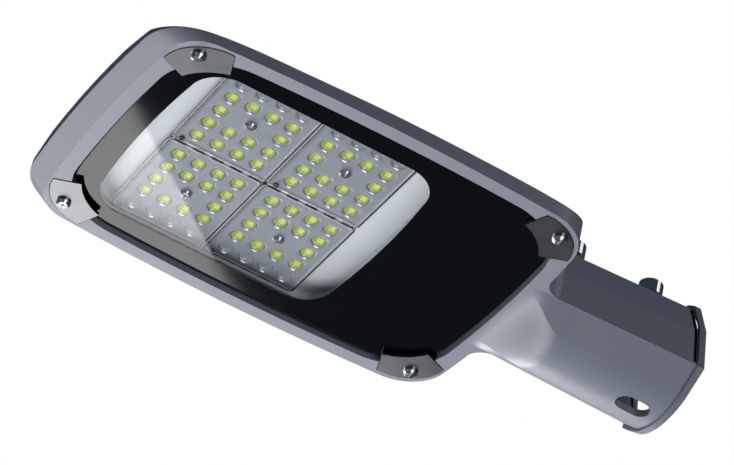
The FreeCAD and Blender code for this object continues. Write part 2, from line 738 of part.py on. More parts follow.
def slotBody():
    def draw(sketch):
        drawOutline(sketch, [
            ("slot_x - slot_length / 2 + slot_width / 2", "-slot_width / 2"),
            ("slot_x + slot_length / 2 - slot_width / 2", "-slot_width / 2", "slot_width / 2 + 0.001"),
            ("slot_x + slot_length / 2 - slot_width / 2", "slot_width / 2"),
            ("slot_x - slot_length / 2 + slot_width / 2", "slot_width / 2", "slot_width / 2 + 0.001"),
        ])
    return padded("slot", "XY_Plane", "belly_z - 2", draw, "-belly_z")


def boltHoles():
    holes = []
    for name, x in (("bolt_hole_front", "bolt_front_x"), ("bolt_hole_rear", "bolt_rear_x")):
        hole = doc.addObject("Part::Cylinder", name)
        bind(hole, Radius="bolt_radius + thread_gap", Height="boss_top_z")
        place(hole, x, "0", "1")
        holes.append(hole)
    return holes


def slitBodies():
    """Slits at the mouth, cut from the sides between the collar and the side facets of the neck."""
    slits = []
    for name, hand in (("slit_right", "-"), ("slit_left", "")):
        def draw(sketch, hand=hand):
            drawOutline(sketch, [
                (hand + "(neck_corner_y - slit_depth)", "-rim_drop + slit_foot"),
                (hand + "(neck_corner_y + slit_reach)", "-rim_drop + slit_foot"),
                (hand + "(neck_side_y + slit_reach)", "neck_shoulder_z + slit_reach"),
                (hand + "(neck_shoulder_y - slit_depth * 0.8)", "neck_shoulder_z + slit_reach"),
                (hand + "(neck_shoulder_y - slit_depth * 0.8)", "neck_shoulder_z - slit_depth * 0.4"),
                (hand + "(neck_side_y - slit_depth)", "neck_side_z - slit_depth * 0.4"),
            ])
        slits.append(padded(name, "YZ_Plane", "-slit_width - slit_wall", draw, "slit_width"))
    return slits


# Places that several pieces share: the modules are stacked down from the tray.
board_bottom = "(bay_ceiling - tray_sheet - board_thickness)"
plate_top = "(bay_ceiling - tray_sheet - board_thickness - seal_height)"
above_gasket = ("-rim_drop + glass_recess + glass_thickness + gasket_thickness"
                " + parts_clearance")
driver_x = "(array_x + bay_length / 2 + driver_bay_front + driver_clearance + driver_width / 2)"
driver_screw_y = "(driver_length / 2 + ear_length / 2)"
clip_places = [
    ("tip_right", "head_tip_x + screw_tip_inset", "-", "clip_tip_angle"),
    ("tip_left", "head_tip_x + screw_tip_inset", "", "clip_tip_angle"),
    ("rear_right", "head_rear_x - screw_rear_inset", "-", "clip_rear_angle"),
    ("rear_left", "head_rear_x - screw_rear_inset", "", "clip_rear_angle"),
]
module_signs = [("1", "-", "-"), ("2", "", "-"), ("3", "-", ""), ("4", "", "")]


def modulePlace(sign_x, sign_y):
    return "array_x + (%smodule_x)" % sign_x, "%smodule_y" % sign_y


def clipPlace(x, hand, angle):
    """Centre and turn of a clip, so that its screw lands on the screw's place."""
    turn = angle if hand == "" else "-" + angle
    centre_x = "%s - clip_screw * cos(%s)" % (x, turn)
    centre_y = "%s(head_width / 2 - screw_side_inset) - clip_screw * sin(%s)" % (hand, turn)
    return centre_x, centre_y, turn


def clipOutline(sketch, grow):
    """Clip around its own centre: a concave inner edge, two straight ends and a round outer edge."""
    inner = "(clip_inner - (%s))" % grow
    outer = "(clip_outer + (%s) * 0.7)" % grow
    # The ends move sideways by the growth, which is an angle at each radius.
    inner_turn = "(clip_spread + (%s) / clip_inner * 57.3)" % grow
    outer_turn = "(clip_spread + (%s) / clip_outer * 57.3)" % grow
    drawOutline(sketch, [
        ("%s * cos(%s)" % (inner, inner_turn), "-(%s * sin(%s))" % (inner, inner_turn)),
        ("%s * cos(%s)" % (outer, outer_turn), "-(%s * sin(%s))" % (outer, outer_turn),
         "(clip_outer_radius + (%s))" % grow),
        ("%s * cos(%s)" % (outer, outer_turn), "%s * sin(%s)" % (outer, outer_turn)),
        ("%s * cos(%s)" % (inner, inner_turn), "%s * sin(%s)" % (inner, inner_turn),
         "-" + inner),
    ])


def clipSeat(corner, x, hand, angle):
    body = newBody("clip_seat_" + corner)
    sketch = newSketch(body, "XY_Plane", "-rim_drop - 1")
    clipOutline(sketch, "clip_gap")
    addPad(body, sketch, "1 + clip_seat")
    centre_x, centre_y, turn = clipPlace(x, hand, angle)
    place(body, centre_x, centre_y, "0", turn)
    hole = doc.addObject("Part::Cylinder", "clip_hole_" + corner)
    bind(hole, Radius="clip_screw_shank + thread_gap", Height="clip_screw_length + 0.5")
    place(hole, x, hand + "(head_width / 2 - screw_side_inset)", "-rim_drop")
    return [body, hole]


def lensHoles():
    holes = []
    for number, sign_x, sign_y in module_signs:
        hole = doc.addObject("Part::Cylinder", "lens_hole_" + number)
        # The hole ends a little above the tip of the screw, which starts at the face of the lens plate.
        bind(hole, Radius="lens_screw_shank + thread_gap",
             Height="lens_screw_length + 0.5 - (bay_ceiling - %s + plate_thickness)" % plate_top)
        x, y = modulePlace(sign_x, sign_y)
        place(hole, x, y, rise("bay_ceiling"))
        holes.append(hole)
    return holes


def driverHoles():
    holes = []
    for name, hand in (("driver_hole_right", "-"), ("driver_hole_left", "")):
        hole = doc.addObject("Part::Cylinder", name)
        bind(hole, Radius="driver_screw_shank + thread_gap", Height="driver_screw_length")
        place(hole, driver_x, hand + driver_screw_y, rise("driver_lift + driver_height - 1"))
        holes.append(hole)
    return holes


def housing():
    shell = common("head_shell", [headBlock(), crownBody()])
    solid = fused("housing_solid", [shell, neckBody(), bellyBody()] + bossBodies())
    rooms = [
        openingBody(), ledBay(), driverBay(loweredCrown()), leadNotch(),
        along("wide_bore", "bore_radius", "-bore_depth", "bore_depth + 10"),
        along("narrow_bore", "inner_bore_radius", "neck_rear_x", "-neck_rear_x"),
        along("gland_room", "gland_room_radius", "gland_room_x", "neck_rear_x - gland_room_x + 1"),
        along("gland_hole", "gland_thread + thread_gap", "driver_bay_rear_x - 1",
              "gland_room_x - driver_bay_rear_x + 2"),
        slotBody()]
    rooms += boltHoles() + slitBodies() + lensHoles() + driverHoles()
    for clip_place in clip_places:
        rooms += clipSeat(*clip_place)
    return keep(cut("housing_cast", solid, fused("housing_rooms", rooms)), "housing")


# Glass, its enamel border and its gasket.

def glassInset(extra):
    gap = "glass_gap + (%s)" % extra
    return {"side": "opening_side + " + gap, "tip": "opening_tip + " + gap,
            "rear": "opening_rear + " + gap, "corner": "opening_corner - glass_gap - (%s)" % extra}


def drawWindow(sketch):
    """Clear window: straight sides, bowed ends and round corners that are tangent to both."""
    turn = "asin((window_width / 2 - window_corner) / (window_bow - window_corner))"
    side_end = "(window_length / 2 - window_bow + (window_bow - window_corner) * cos(%s))" % turn
    bow_x = "(window_length / 2 - window_bow + window_bow * cos(%s))" % turn
    bow_y = "(window_bow * sin(%s))" % turn
    drawOutline(sketch, [
        ("array_x - " + side_end, "-window_width / 2"),
        ("array_x + " + side_end, "-window_width / 2", "window_corner"),
        ("array_x + " + bow_x, "-" + bow_y, "window_bow"),
        ("array_x + " + bow_x, bow_y, "window_corner"),
        ("array_x + " + side_end, "window_width / 2"),
        ("array_x - " + side_end, "window_width / 2", "window_corner"),
        ("array_x - " + bow_x, bow_y, "window_bow"),
        ("array_x - " + bow_x, "-" + bow_y, "window_corner"),
    ])


def glassCover():
    body = newBody("glass")
    sketch = newSketch(body, "XY_Plane", rise("glass_recess"))
    drawHead(sketch, **glassInset("0"))
    pad = addPad(body, sketch, "glass_thickness")
    doc.recompute()
    edge = body.newObject("PartDesign::Chamfer", "glass_ground_edge")
    flat = [face for face in range(len(pad.Shape.Faces))
            if abs(pad.Shape.Faces[face].normalAt(0, 0).z) > 0.9]
    edge.Base = (pad, ["Face%d" % (face + 1) for face in flat])
    bind(edge, Size="glass_edge")
    body.Tip = edge
    return keep(body, "glass_cover")


def glassBorder():
    def draw(sketch):
        drawHead(sketch, **glassInset("glass_edge"))
        drawWindow(sketch)
    height = rise("glass_recess - border_thickness")
    return keep(padded("border", "XY_Plane", height, draw, "border_thickness"), "glass_border")


def glassGasket():
    def draw(sketch):
        drawHead(sketch, **glassInset("gasket_inset"))
        drawHead(sketch, **glassInset("gasket_inset + gasket_width"))
    height = rise("glass_recess + glass_thickness")
    return keep(padded("gasket", "XY_Plane", height, draw, "gasket_thickness"), "glass_gasket")


# Screws: a domed head below its seat with a cross recess, and a plain shank above it.

def screwBody(name, x, y, seat, size):
    body = newBody(name)
    profile = newSketch(body, "XZ_Plane")
    head = size + "_head"
    high = size + "_head_height"
    drawOutline(profile, [
        ("0", "-" + high),
        (head + " * 0.62", "-" + high),
        (head, "-%s * 0.45" % high),
        (head, "0"),
        (size + "_shank", "0"),
        (size + "_shank", size + "_length"),
        ("0", size + "_length"),
    ])
    addRevolution(body, profile, "V_Axis")
    recess = newSketch(body, "XY_Plane", "-" + high)
    arm = "recess_arm"
    thin = "recess_width / 2"
    drawOutline(recess, [
        (arm, "-" + thin), (arm, thin), (thin, thin), (thin, arm), ("-" + thin, arm), ("-" + thin, thin),
        ("-" + arm, thin), ("-" + arm, "-" + thin), ("-" + thin, "-" + thin), ("-" + thin, "-" + arm),
        (thin, "-" + arm), (thin, "-" + thin)])
    addPocket(body, recess, "recess_depth", up=True)
    place(body, x, y, seat)
    return body


# Corner clips with the pads that press on the glass.

def cornerClips():
    pads = []
    screws = []
    for corner, x, hand, angle in clip_places:
        centre_x, centre_y, turn = clipPlace(x, hand, angle)
        body = newBody("clip_" + corner)
        sketch = newSketch(body, "XY_Plane", rise("clip_seat - clip_thickness"))
        clipOutline(sketch, "0")
        drawCircle(sketch, "clip_screw", "0", "clip_screw_shank + thread_gap")
        addPad(body, sketch, "clip_thickness")
        place(body, centre_x, centre_y, "0", turn)
        keep(body, "clip_" + corner)

        pad = newBody("pad_" + corner)
        sketch = newSketch(pad, "XY_Plane", rise("clip_seat"))
        near = "clip_inner + pad_inset / 2"
        far = "clip_inner + pad_inset / 2 + pad_length"
        spread = "(clip_spread * 0.8)"
        drawOutline(sketch, [
            ("(%s) * cos(%s)" % (near, spread), "-(%s) * sin(%s)" % (near, spread)),
            ("(%s) * cos(%s)" % (far, spread), "-(%s) * sin(%s)" % (far, spread), "(%s)" % far),
            ("(%s) * cos(%s)" % (far, spread), "(%s) * sin(%s)" % (far, spread)),
            ("(%s) * cos(%s)" % (near, spread), "(%s) * sin(%s)" % (near, spread), "-(%s)" % near),
        ])
        addPad(pad, sketch, "glass_recess - clip_seat - border_thickness")
        place(pad, centre_x, centre_y, "0", turn)
        pads.append(pad)
        screws.append(screwBody("clip_screw_" + corner, x, hand + "(head_width / 2 - screw_side_inset)",
                                rise("clip_seat - clip_thickness"), "clip_screw"))
    keep(group("all_clip_pads", pads), "clip_pads")
    keep(group("all_clip_screws", screws), "clip_screws")


# Pale tray behind the modules, with walls that reach down towards the glass.

def reflectorTray():
    body = newBody("tray")

    def draw(sketch, inset):
        drawRounded(sketch, "array_x - bay_length / 2 + tray_play + " + inset,
                    "array_x + bay_length / 2 - tray_play - " + inset,
                    "-bay_width / 2 + tray_play + " + inset, "bay_width / 2 - tray_play - " + inset,
                    "(bay_corner - tray_play - %s)" % inset)
    floor = newSketch(body, "XY_Plane", rise("bay_ceiling"))
    draw(floor, "0")
    addPad(body, floor, "tray_depth + tray_sheet", down=True)
    room = newSketch(body, "XY_Plane", rise("bay_ceiling - tray_sheet"))
    draw(room, "tray_sheet")
    addPocket(body, room, "tray_depth + 1")
    for number, sign_x, sign_y in module_signs:
        hole = newSketch(body, "XY_Plane", rise("bay_ceiling"))
        x, y = modulePlace(sign_x, sign_y)
        drawCircle(hole, x, y, "lens_hole_radius")
        addPocket(body, hole, "tray_sheet + 1")
    return keep(body, "reflector_tray")


# LED modules.


def rectangleWithHole(body, plane_height, inset, corner, hole=True):
    sketch = newSketch(body, "XY_Plane", plane_height)
    drawRounded(sketch, "-module_length / 2 + " + inset, "module_length / 2 - " + inset,
                "-module_width / 2 + " + inset, "module_width / 2 - " + inset, corner)
    if hole:
        drawCircle(sketch, "0", "0", "lens_hole_radius")
    return sketch


def moduleBoard():
    board = newBody("board")
    addPad(board, rectangleWithHole(board, rise(board_bottom), "board_inset", "module_corner"),
           "board_thickness")
    return board


def moduleChips():
    """Chips of one module. The row of lenses at the outer side has none."""
    chips = []
    for column in range(4):
        for line in range(4):
            if line == 2 and column in (1, 2):
                continue
            chip = doc.addObject("Part::Box", "chip_%d%d" % (column, line))
            bind(chip, Length="chip_side", Width="chip_side", Height="chip_height")
            place(chip, "pitch_x * %g - chip_side / 2" % (column - 1.5),
                  "pitch_y * %g - chip_side / 2" % (line - 2), rise(board_bottom + " - chip_height"))
            chips.append(chip)
    return group("chips", chips)


def moduleSeal():
    seal = newBody("seal")
    ring = rectangleWithHole(seal, rise(plate_top), "seal_inset", "module_corner", hole=False)
    drawRounded(ring, "-module_length / 2 + seal_inset + seal_width",
                "module_length / 2 - seal_inset - seal_width",
                "-module_width / 2 + seal_inset + seal_width",
                "module_width / 2 - seal_inset - seal_width", "(module_corner - seal_width / 2)")
    addPad(seal, ring, "seal_height")
    return seal


def lensDome():
    """Faceted lens dome: a prism whose lower edges are bevelled."""
    body = newBody("dome")
    sketch = newSketch(body, "XY_Plane", rise(plate_top + " - plate_thickness"))
    drawPolygon(sketch, 10, "dome_radius")
    pad = addPad(body, sketch, "dome_height", down=True)
    doc.recompute()
    crown = body.newObject("PartDesign::Chamfer", "dome_crown")
    low = [face for face in range(len(pad.Shape.Faces))
           if abs(pad.Shape.Faces[face].CenterOfMass.z - pad.Shape.BoundBox.ZMin) < 0.01]
    crown.Base = (pad, ["Face%d" % (face + 1) for face in low])
    bind(crown, Size="dome_bevel")
    body.Tip = crown
    return body


def modulePlate():
    """Lens plate with its nub and domes. The middle row has no domes beside the screw."""
    plate = newBody("plate")
    face = rise(plate_top + " - plate_thickness")
    addPad(plate, rectangleWithHole(plate, face, "0", "module_corner"), "plate_thickness")
    nub = newSketch(plate, "XY_Plane", face)
    drawCircle(nub, "-module_length / 2 + 3 * nub_radius", "module_width / 2 - 1.6 * nub_radius",
               "nub_radius")
    addPad(plate, nub, "nub_height", down=True)
    dome = lensDome()
    solids = [plate]
    for column in range(4):
        for line in range(5):
            if line == 2 and column in (1, 2):
                continue
            copy = group("dome_%d%d" % (column, line), [dome])
            place(copy, "pitch_x * %g" % (column - 1.5), "pitch_y * %g" % (line - 2))
            solids.append(copy)
    return fused("plate_with_domes", solids)


def ledModules():
    """Four equal modules. The ones at -Y are turned so that their unlit row lies outside too."""
    made = [("led_board_", moduleBoard()), ("led_chips_", moduleChips()), ("lens_seal_", moduleSeal()),
            ("lens_plate_", modulePlate())]
    for number, sign_x, sign_y in module_signs:
        x, y = modulePlace(sign_x, sign_y)
        for label, original in made:
            turned = label == "led_chips_" and sign_y == "-"
            copy = group(label + "copy_" + number, [original])
            place(copy, x, y, "0", "180" if turned else None)
            keep(copy, label + number)


def lensScrews():
    screws = []
    for number, sign_x, sign_y in module_signs:
        x, y = modulePlace(sign_x, sign_y)
        screws.append(screwBody("lens_screw_" + number, x, y, rise(plate_top + " - plate_thickness"),
                                "lens_screw"))
    keep(group("all_lens_screws", screws), "lens_screws")


# What is in the driver bay.

def ledDriver():
    body = newBody("driver")
    case = newSketch(body, "XY_Plane", rise("driver_lift"))
    drawRounded(case, "-driver_width / 2", "driver_width / 2", "-driver_length / 2", "driver_length / 2",
                "driver_edge")
    addPad(body, case, "driver_height")
    ears = newSketch(body, "XY_Plane", rise("driver_lift + driver_height"))
    reach = "(driver_length / 2 + ear_length)"
    drawRounded(ears, "-ear_width / 2", "ear_width / 2", "-" + reach, reach, "(ear_width / 4)")
    addPad(body, ears, "ear_thickness", down=True)
    for hand in ("-", ""):
        hole = newSketch(body, "XY_Plane", rise("driver_lift + driver_height"))
        drawCircle(hole, "0", hand + driver_screw_y, "driver_screw_shank + thread_gap")
        addPocket(body, hole, "ear_thickness + 1")
    place(body, driver_x)
    return keep(body, "led_driver")


def driverScrews():
    screws = [screwBody("driver_screw_" + name, driver_x, hand + driver_screw_y,
                        rise("driver_lift + driver_height - ear_thickness"), "driver_screw")
              for name, hand in (("right", "-"), ("left", ""))]
    return keep(group("all_driver_screws", screws), "driver_screws")


def terminalBlock():
    body = newBody("terminal")
    block = newSketch(body, "XY_Plane", "-terminal_height / 2")
    drawOutline(block, [
        ("0", "-terminal_length / 2"), ("0", "terminal_length / 2"),
        ("-terminal_depth", "terminal_length / 2"), ("-terminal_depth", "-terminal_length / 2")])
    addPad(body, block, "terminal_height")
    entry = newSketch(body, "YZ_Plane", "-terminal_depth")
    for step in (-1, 0, 1):
        drawCircle(entry, "terminal_pitch * %d" % step if step else "0", "0 - terminal_height / 6", "terminal_hole")
    addPocket(body, entry, "terminal_depth * 0.7", up=True)
    place(body, "driver_bay_rear_x", "terminal_y", above_gasket + " + terminal_height / 2")
    return keep(body, "terminal_block")


def surgeProtector():
    body = newBody("protector")
    case = newSketch(body, "YZ_Plane")
    drawRounded(case, "-protector_length / 2", "protector_length / 2", "-protector_height / 2",
                "protector_height / 2", "driver_edge")
    addPad(body, case, "protector_depth", down=True)
    place(body, "driver_bay_rear_x", "protector_y", above_gasket + " + protector_height / 2")
    return keep(body, "surge_protector")


def cableGland():
    body = newBody("gland")
    hexagon = newSketch(body, "YZ_Plane")
    drawPolygon(hexagon, 6, "gland_hex")
    addPad(body, hexagon, "gland_hex_length")
    foot = newSketch(body, "YZ_Plane", "gland_hex_length")
    drawPolygon(foot, 12, "gland_dome_radius")
    mouth = newSketch(body, "YZ_Plane", "gland_hex_length + gland_dome_length")
    drawPolygon(mouth, 12, "gland_mouth_radius")
    addLoft(body, [foot, mouth], ruled=True)
    thread = newSketch(body, "YZ_Plane")
    drawCircle(thread, "0", "0", "gland_thread")
    addPad(body, thread, "gland_room_x - driver_bay_rear_x + nut_length", down=True)
    passage = newSketch(body, "YZ_Plane", "gland_hex_length + gland_dome_length")
    drawCircle(passage, "0", "0", "gland_hole")
    addPocket(body, passage, "gland_hex_length + gland_dome_length + 20")
    place(body, "gland_room_x")
    return keep(body, "cable_gland")


def glandNut():
    body = newBody("nut")
    sketch = newSketch(body, "YZ_Plane")
    drawPolygon(sketch, 6, "nut_hex")
    drawCircle(sketch, "0", "0", "gland_thread")
    addPad(body, sketch, "nut_length", down=True)
    place(body, "driver_bay_rear_x")
    return keep(body, "gland_locknut")


# Clamp bolts of the socket, with hexagon keys.

def clampBolts():
    bolts = []
    for name, x, bore in (("front", "bolt_front_x", "bore_radius"),
                          ("rear", "bolt_rear_x", "inner_bore_radius")):
        tip = "%s + bolt_tip_gap - bolt_head_z" % bore
        body = newBody("bolt_" + name)
        profile = newSketch(body, "XZ_Plane")
        drawOutline(profile, [
            ("0", "bolt_head_height"),
            ("bolt_head_radius - bolt_edge", "bolt_head_height"),
            ("bolt_head_radius", "bolt_head_height - bolt_edge"),
            ("bolt_head_radius", "0"),
            ("bolt_radius", "0"),
            ("bolt_radius", tip),
            ("0", tip),
        ])
        addRevolution(body, profile, "V_Axis")
        key = newSketch(body, "XY_Plane", "bolt_head_height")
        drawPolygon(key, 6, "bolt_key")
        addPocket(body, key, "bolt_key_depth")
        place(body, x, "0", "bolt_head_z")
        bolts.append(body)
    return keep(group("all_clamp_bolts", bolts), "clamp_bolts")


# Collar at the mouth of the socket, a little proud of the neck all round.

def socketCollar():
    def draw(sketch):
        lip = "collar_lip"
        half = [
            ("neck_corner_y + " + lip, "-rim_drop - " + lip),
            ("neck_side_y + " + lip, "neck_side_z + %s / 2" % lip),
            ("neck_shoulder_y + %s * 0.8" % lip, "neck_shoulder_z + " + lip),
            ("neck_top_y", "neck_top_z + " + lip),
        ]
        left = [("-(%s)" % y, z) for y, z in reversed(half)]
        edge_y = "(belly_edge_y + %s / 2)" % lip
        sag = "(belly_edge_z - belly_z)"
        radius = "((%s^2 + %s^2) / (2 * %s))" % (edge_y, sag, sag)
        drawOutline(sketch, [("-" + edge_y, "belly_edge_z - " + lip, radius),
                             (edge_y, "belly_edge_z - " + lip)] + half + left)
        drawCircle(sketch, "0", "0", "collar_radius")
    return keep(padded("collar", "YZ_Plane", "0", draw, "collar_thickness"), "socket_collar")


housing()
glassCover()
glassBorder()
glassGasket()
cornerClips()
reflectorTray()
ledModules()
lensScrews()
ledDriver()
driverScrews()
terminalBlock()
surgeProtector()
cableGland()
glandNut()
clampBolts()
socketCollar()

doc.recompute()
for thing in doc.Objects:
    if "Invalid" in thing.State or "Error" in thing.State:
        raise RuntimeError("%s failed: %s" % (thing.Name, thing.State))
for part in parts:
    shape = part.Shape
    if shape.isNull() or not shape.isValid() or not shape.Solids:
        raise RuntimeError("%s has no valid solid" % part.Label)

os.makedirs("parts", exist_ok=True)
for part in parts:
    part.Shape.exportStep("parts/%s.step" % part.Label)
    box = part.Shape.BoundBox
    print("%-20s %2d solids %10.1f mm3  x %.1f..%.1f  y %.1f..%.1f  z %.1f..%.1f" % (
        part.Label, len(part.Shape.Solids), part.Shape.Volume,
        box.XMin, box.XMax, box.YMin, box.YMax, box.ZMin, box.ZMax))
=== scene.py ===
import math

import bmesh
import bpy
import numpy as np
from mathutils import Matrix, Vector


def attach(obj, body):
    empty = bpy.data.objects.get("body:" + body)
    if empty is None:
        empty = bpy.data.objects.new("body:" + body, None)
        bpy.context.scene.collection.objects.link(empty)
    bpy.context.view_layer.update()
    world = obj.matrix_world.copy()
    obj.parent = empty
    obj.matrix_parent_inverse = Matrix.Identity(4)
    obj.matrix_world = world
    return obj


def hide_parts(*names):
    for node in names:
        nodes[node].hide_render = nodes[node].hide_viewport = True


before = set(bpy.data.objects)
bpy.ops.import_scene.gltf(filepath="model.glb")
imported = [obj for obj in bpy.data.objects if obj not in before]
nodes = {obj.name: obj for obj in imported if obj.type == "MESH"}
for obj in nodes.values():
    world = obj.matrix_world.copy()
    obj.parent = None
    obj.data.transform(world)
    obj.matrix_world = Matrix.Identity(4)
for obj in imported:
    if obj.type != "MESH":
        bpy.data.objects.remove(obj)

scene = bpy.context.scene
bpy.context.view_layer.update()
mm = 0.001
tiny = 1e-9


# Small helpers

srgbCurve = {"knee": 0.04045, "slope": 12.92, "offset": 0.055, "power": 2.4}


def toLinear(hexColor):
    # sRGB hex colour to linear values, with full alpha
    p = srgbCurve
    parts = [int(hexColor[i:i + 2], 16) / 255 for i in (0, 2, 4)]
    curved = [((v + p["offset"]) / (1 + p["offset"])) ** p["power"] for v in parts]
    return tuple(v / p["slope"] if v <= p["knee"] else c for v, c in zip(parts, curved)) + (1,)


def unit(v):
    return v / np.linalg.norm(v)


def gridMesh(name, points):
    # points is rings by columns by xyz; each ring is closed and joined to the next one by quads
    rings, cols = points.shape[:2]
    index = np.arange(rings * cols).reshape(rings, cols)
    index = np.hstack([index, index[:, :1]])
    quads = np.stack([index[:-1, :-1], index[1:, :-1], index[1:, 1:], index[:-1, 1:]], -1).reshape(-1, 4)
    mesh = bpy.data.meshes.new(name)
    mesh.from_pydata(points.reshape(-1, 3).tolist(), [], quads.tolist())
    return mesh


def meshPoints(mesh):
    co = np.zeros(len(mesh.vertices) * 3)
    mesh.vertices.foreach_get("co", co)
    return co.reshape(-1, 3)


def joinMeshes(name, meshes):
    # one mesh from several, their points, faces and shade levels put one after another
    faces, start = [], 0
    for mesh in meshes:
        faces += [[start + v for v in face.vertices] for face in mesh.polygons]
        start += len(mesh.vertices)
    joined = bpy.data.meshes.new(name)
    joined.from_pydata(np.vstack([meshPoints(mesh) for mesh in meshes]).tolist(), [], faces)
    if "shade" in meshes[0].attributes:
        levels = [entry.value for mesh in meshes for entry in mesh.attributes["shade"].data]
        joined.attributes.new("shade", "FLOAT", "POINT").data.foreach_set("value", levels)
    return joined


meshCare = {"weld": 2e-6, "sharpDegrees": 35}


def placeMesh(mesh, origin):
    # from millimetres about the module's centre to metres in the part's frame
    points = (meshPoints(mesh) + (origin[0], origin[1], 0)) * mm
    mesh.vertices.foreach_set("co", points.ravel())
    # doubled points are welded and all faces turned outwards
    bm = bmesh.new()
    bm.from_mesh(mesh)
    bmesh.ops.remove_doubles(bm, verts=bm.verts, dist=meshCare["weld"])
    bmesh.ops.dissolve_degenerate(bm, edges=bm.edges, dist=meshCare["weld"])
    bmesh.ops.recalc_face_normals(bm, faces=bm.faces)
    bm.to_mesh(mesh)
    bm.free()
    mesh.shade_smooth()
    mesh.set_sharp_from_angle(angle=math.radians(meshCare["sharpDegrees"]))
    return mesh


def addPiece(name, mesh, material, stands):
    piece = bpy.data.objects.new(name, mesh)
    scene.collection.objects.link(piece)
    mesh.materials.append(material)
    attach(piece, "root")
    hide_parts(*stands)
    return piece


# Shader helpers

def setSocket(tree, socket, value):
    # another node's output is linked to the socket, and a number or colour is written on it
    if isinstance(value, bpy.types.NodeSocket):
        tree.links.new(value, socket)
    else:
        socket.default_value = value


def mathNode(tree, operation, *values):
    node = tree.nodes.new("ShaderNodeMath")
    node.operation = operation
    for socket, value in zip(node.inputs, values):
        setSocket(tree, socket, value)
    return node.outputs[0]


def mapRange(tree, value, start, end, low, high, curve="LINEAR"):
    node = tree.nodes.new("ShaderNodeMapRange")
    node.interpolation_type = curve
    labels = ("Value", "From Min", "From Max", "To Min", "To Max")
    for label, entry in zip(labels, (value, start, end, low, high)):
        setSocket(tree, node.inputs[label], entry)
    return node.outputs["Result"]


# The colour sockets of a mix node, by their place among its sockets
mixPlaces = {"factor": 0, "first": 6, "second": 7, "result": 2}


def mixColor(tree, factor, first, second, blend="MIX"):
    node = tree.nodes.new("ShaderNodeMix")
    node.data_type = "RGBA"
    node.blend_type = blend
    for label, value in (("factor", factor), ("first", first), ("second", second)):
        setSocket(tree, node.inputs[mixPlaces[label]], value)
    return node.outputs[mixPlaces["result"]]


def noiseValue(tree, vector, scale, detail, rough=0.5):
    node = tree.nodes.new("ShaderNodeTexNoise")
    for label, value in (("Vector", vector), ("Scale", scale), ("Detail", detail), ("Roughness", rough)):
        setSocket(tree, node.inputs[label], value)
    return node.outputs["Fac"]


def objectCoords(tree):
    return tree.nodes.new("ShaderNodeTexCoord").outputs["Object"]


def attributeLevel(tree, name):
    node = tree.nodes.new("ShaderNodeAttribute")
    node.attribute_name = name
    return node.outputs["Fac"]


# Camera at the place found from the photograph, with the photograph's lens

photoView = {
    "place": (-0.85191, -1.63637, -1.36369),
    "right": (0.85416, -0.49065, 0.17413),
    "down": (0.42700, 0.46800, -0.77400),
    "focalPixels": 4194.75,
    "width": 734,
    "sensor": 36,
    "clipEnd": 100,
}


def makeCamera(p):
    data = bpy.data.cameras.new("photoCamera")
    data.sensor_width = p["sensor"]
    data.lens = p["focalPixels"] / p["width"] * p["sensor"]
    data.clip_end = p["clipEnd"]
    right = unit(np.array(p["right"]))
    down = np.array(p["down"])
    down = unit(down - right * (down @ right))
    back = np.cross(right, -down)
    turn = [[right[i], -down[i], back[i], p["place"][i]] for i in range(3)]
    camera = bpy.data.objects.new("photoCamera", data)
    camera.matrix_world = Matrix(turn + [[0, 0, 0, 1]])
    scene.collection.objects.link(camera)
    scene.camera = camera
    print("camera set")


makeCamera(photoView)

# Surroundings: white to the camera, soft light with darker sides to the lamp

worldLook = {
    "side": 0.05,
    "below": 2.5,
    "above": 0.12,
    "tint": (0.72, 0.88, 1.2, 1),
    "white": (1, 1, 1, 1),
    "belowFrom": 0.72,
    "belowTo": 0.97,
    "aboveFrom": 0.72,
    "aboveTo": 0.97,
}


def makeWorld(p):
    world = bpy.data.worlds.new("studio")
    world.use_nodes = True
    tree = world.node_tree
    tree.nodes.clear()
    split = tree.nodes.new("ShaderNodeSeparateXYZ")
    tree.links.new(tree.nodes.new("ShaderNodeTexCoord").outputs["Generated"], split.inputs[0])
    height = split.outputs["Z"]
    below = mapRange(tree, height, -p["belowTo"], -p["belowFrom"], p["below"], 0, "SMOOTHSTEP")
    above = mapRange(tree, height, p["aboveFrom"], p["aboveTo"], 0, p["above"], "SMOOTHSTEP")
    light = tree.nodes.new("ShaderNodeBackground")
    light.inputs["Color"].default_value = p["tint"]
    level = mathNode(tree, "ADD", mathNode(tree, "ADD", below, above), p["side"])
    tree.links.new(level, light.inputs["Strength"])
    white = tree.nodes.new("ShaderNodeBackground")
    white.inputs["Color"].default_value = p["white"]
    mix = tree.nodes.new("ShaderNodeMixShader")
    path = tree.nodes.new("ShaderNodeLightPath")
    tree.links.new(path.outputs["Is Camera Ray"], mix.inputs["Fac"])
    tree.links.new(light.outputs[0], mix.inputs[1])
    tree.links.new(white.outputs[0], mix.inputs[2])
    tree.links.new(mix.outputs[0], tree.nodes.new("ShaderNodeOutputWorld").inputs["Surface"])
    scene.world = world


def addSoftbox(name, p):
    # a lamp whose face has the given radiance
    data = bpy.data.lights.new(name, "AREA")
    data.shape = "RECTANGLE"
    data.size, data.size_y = p["size"]
    data.energy = p["radiance"] * math.pi * p["size"][0] * p["size"][1]
    lamp = bpy.data.objects.new(name, data)
    scene.collection.objects.link(lamp)
    return lamp


# The key softbox lies where the glass mirrors it towards the camera. Its edge is the line seen there.
keyBox = {
    "lineA": (-0.3398, -0.018),
    "lineB": (-0.227, 0.084),
    "aim": (-0.2, 0, -0.015),
    "glassZ": -0.015,
    "distance": 1.5,
    "size": (1.7, 1.1),
    "radiance": 2.1,
}


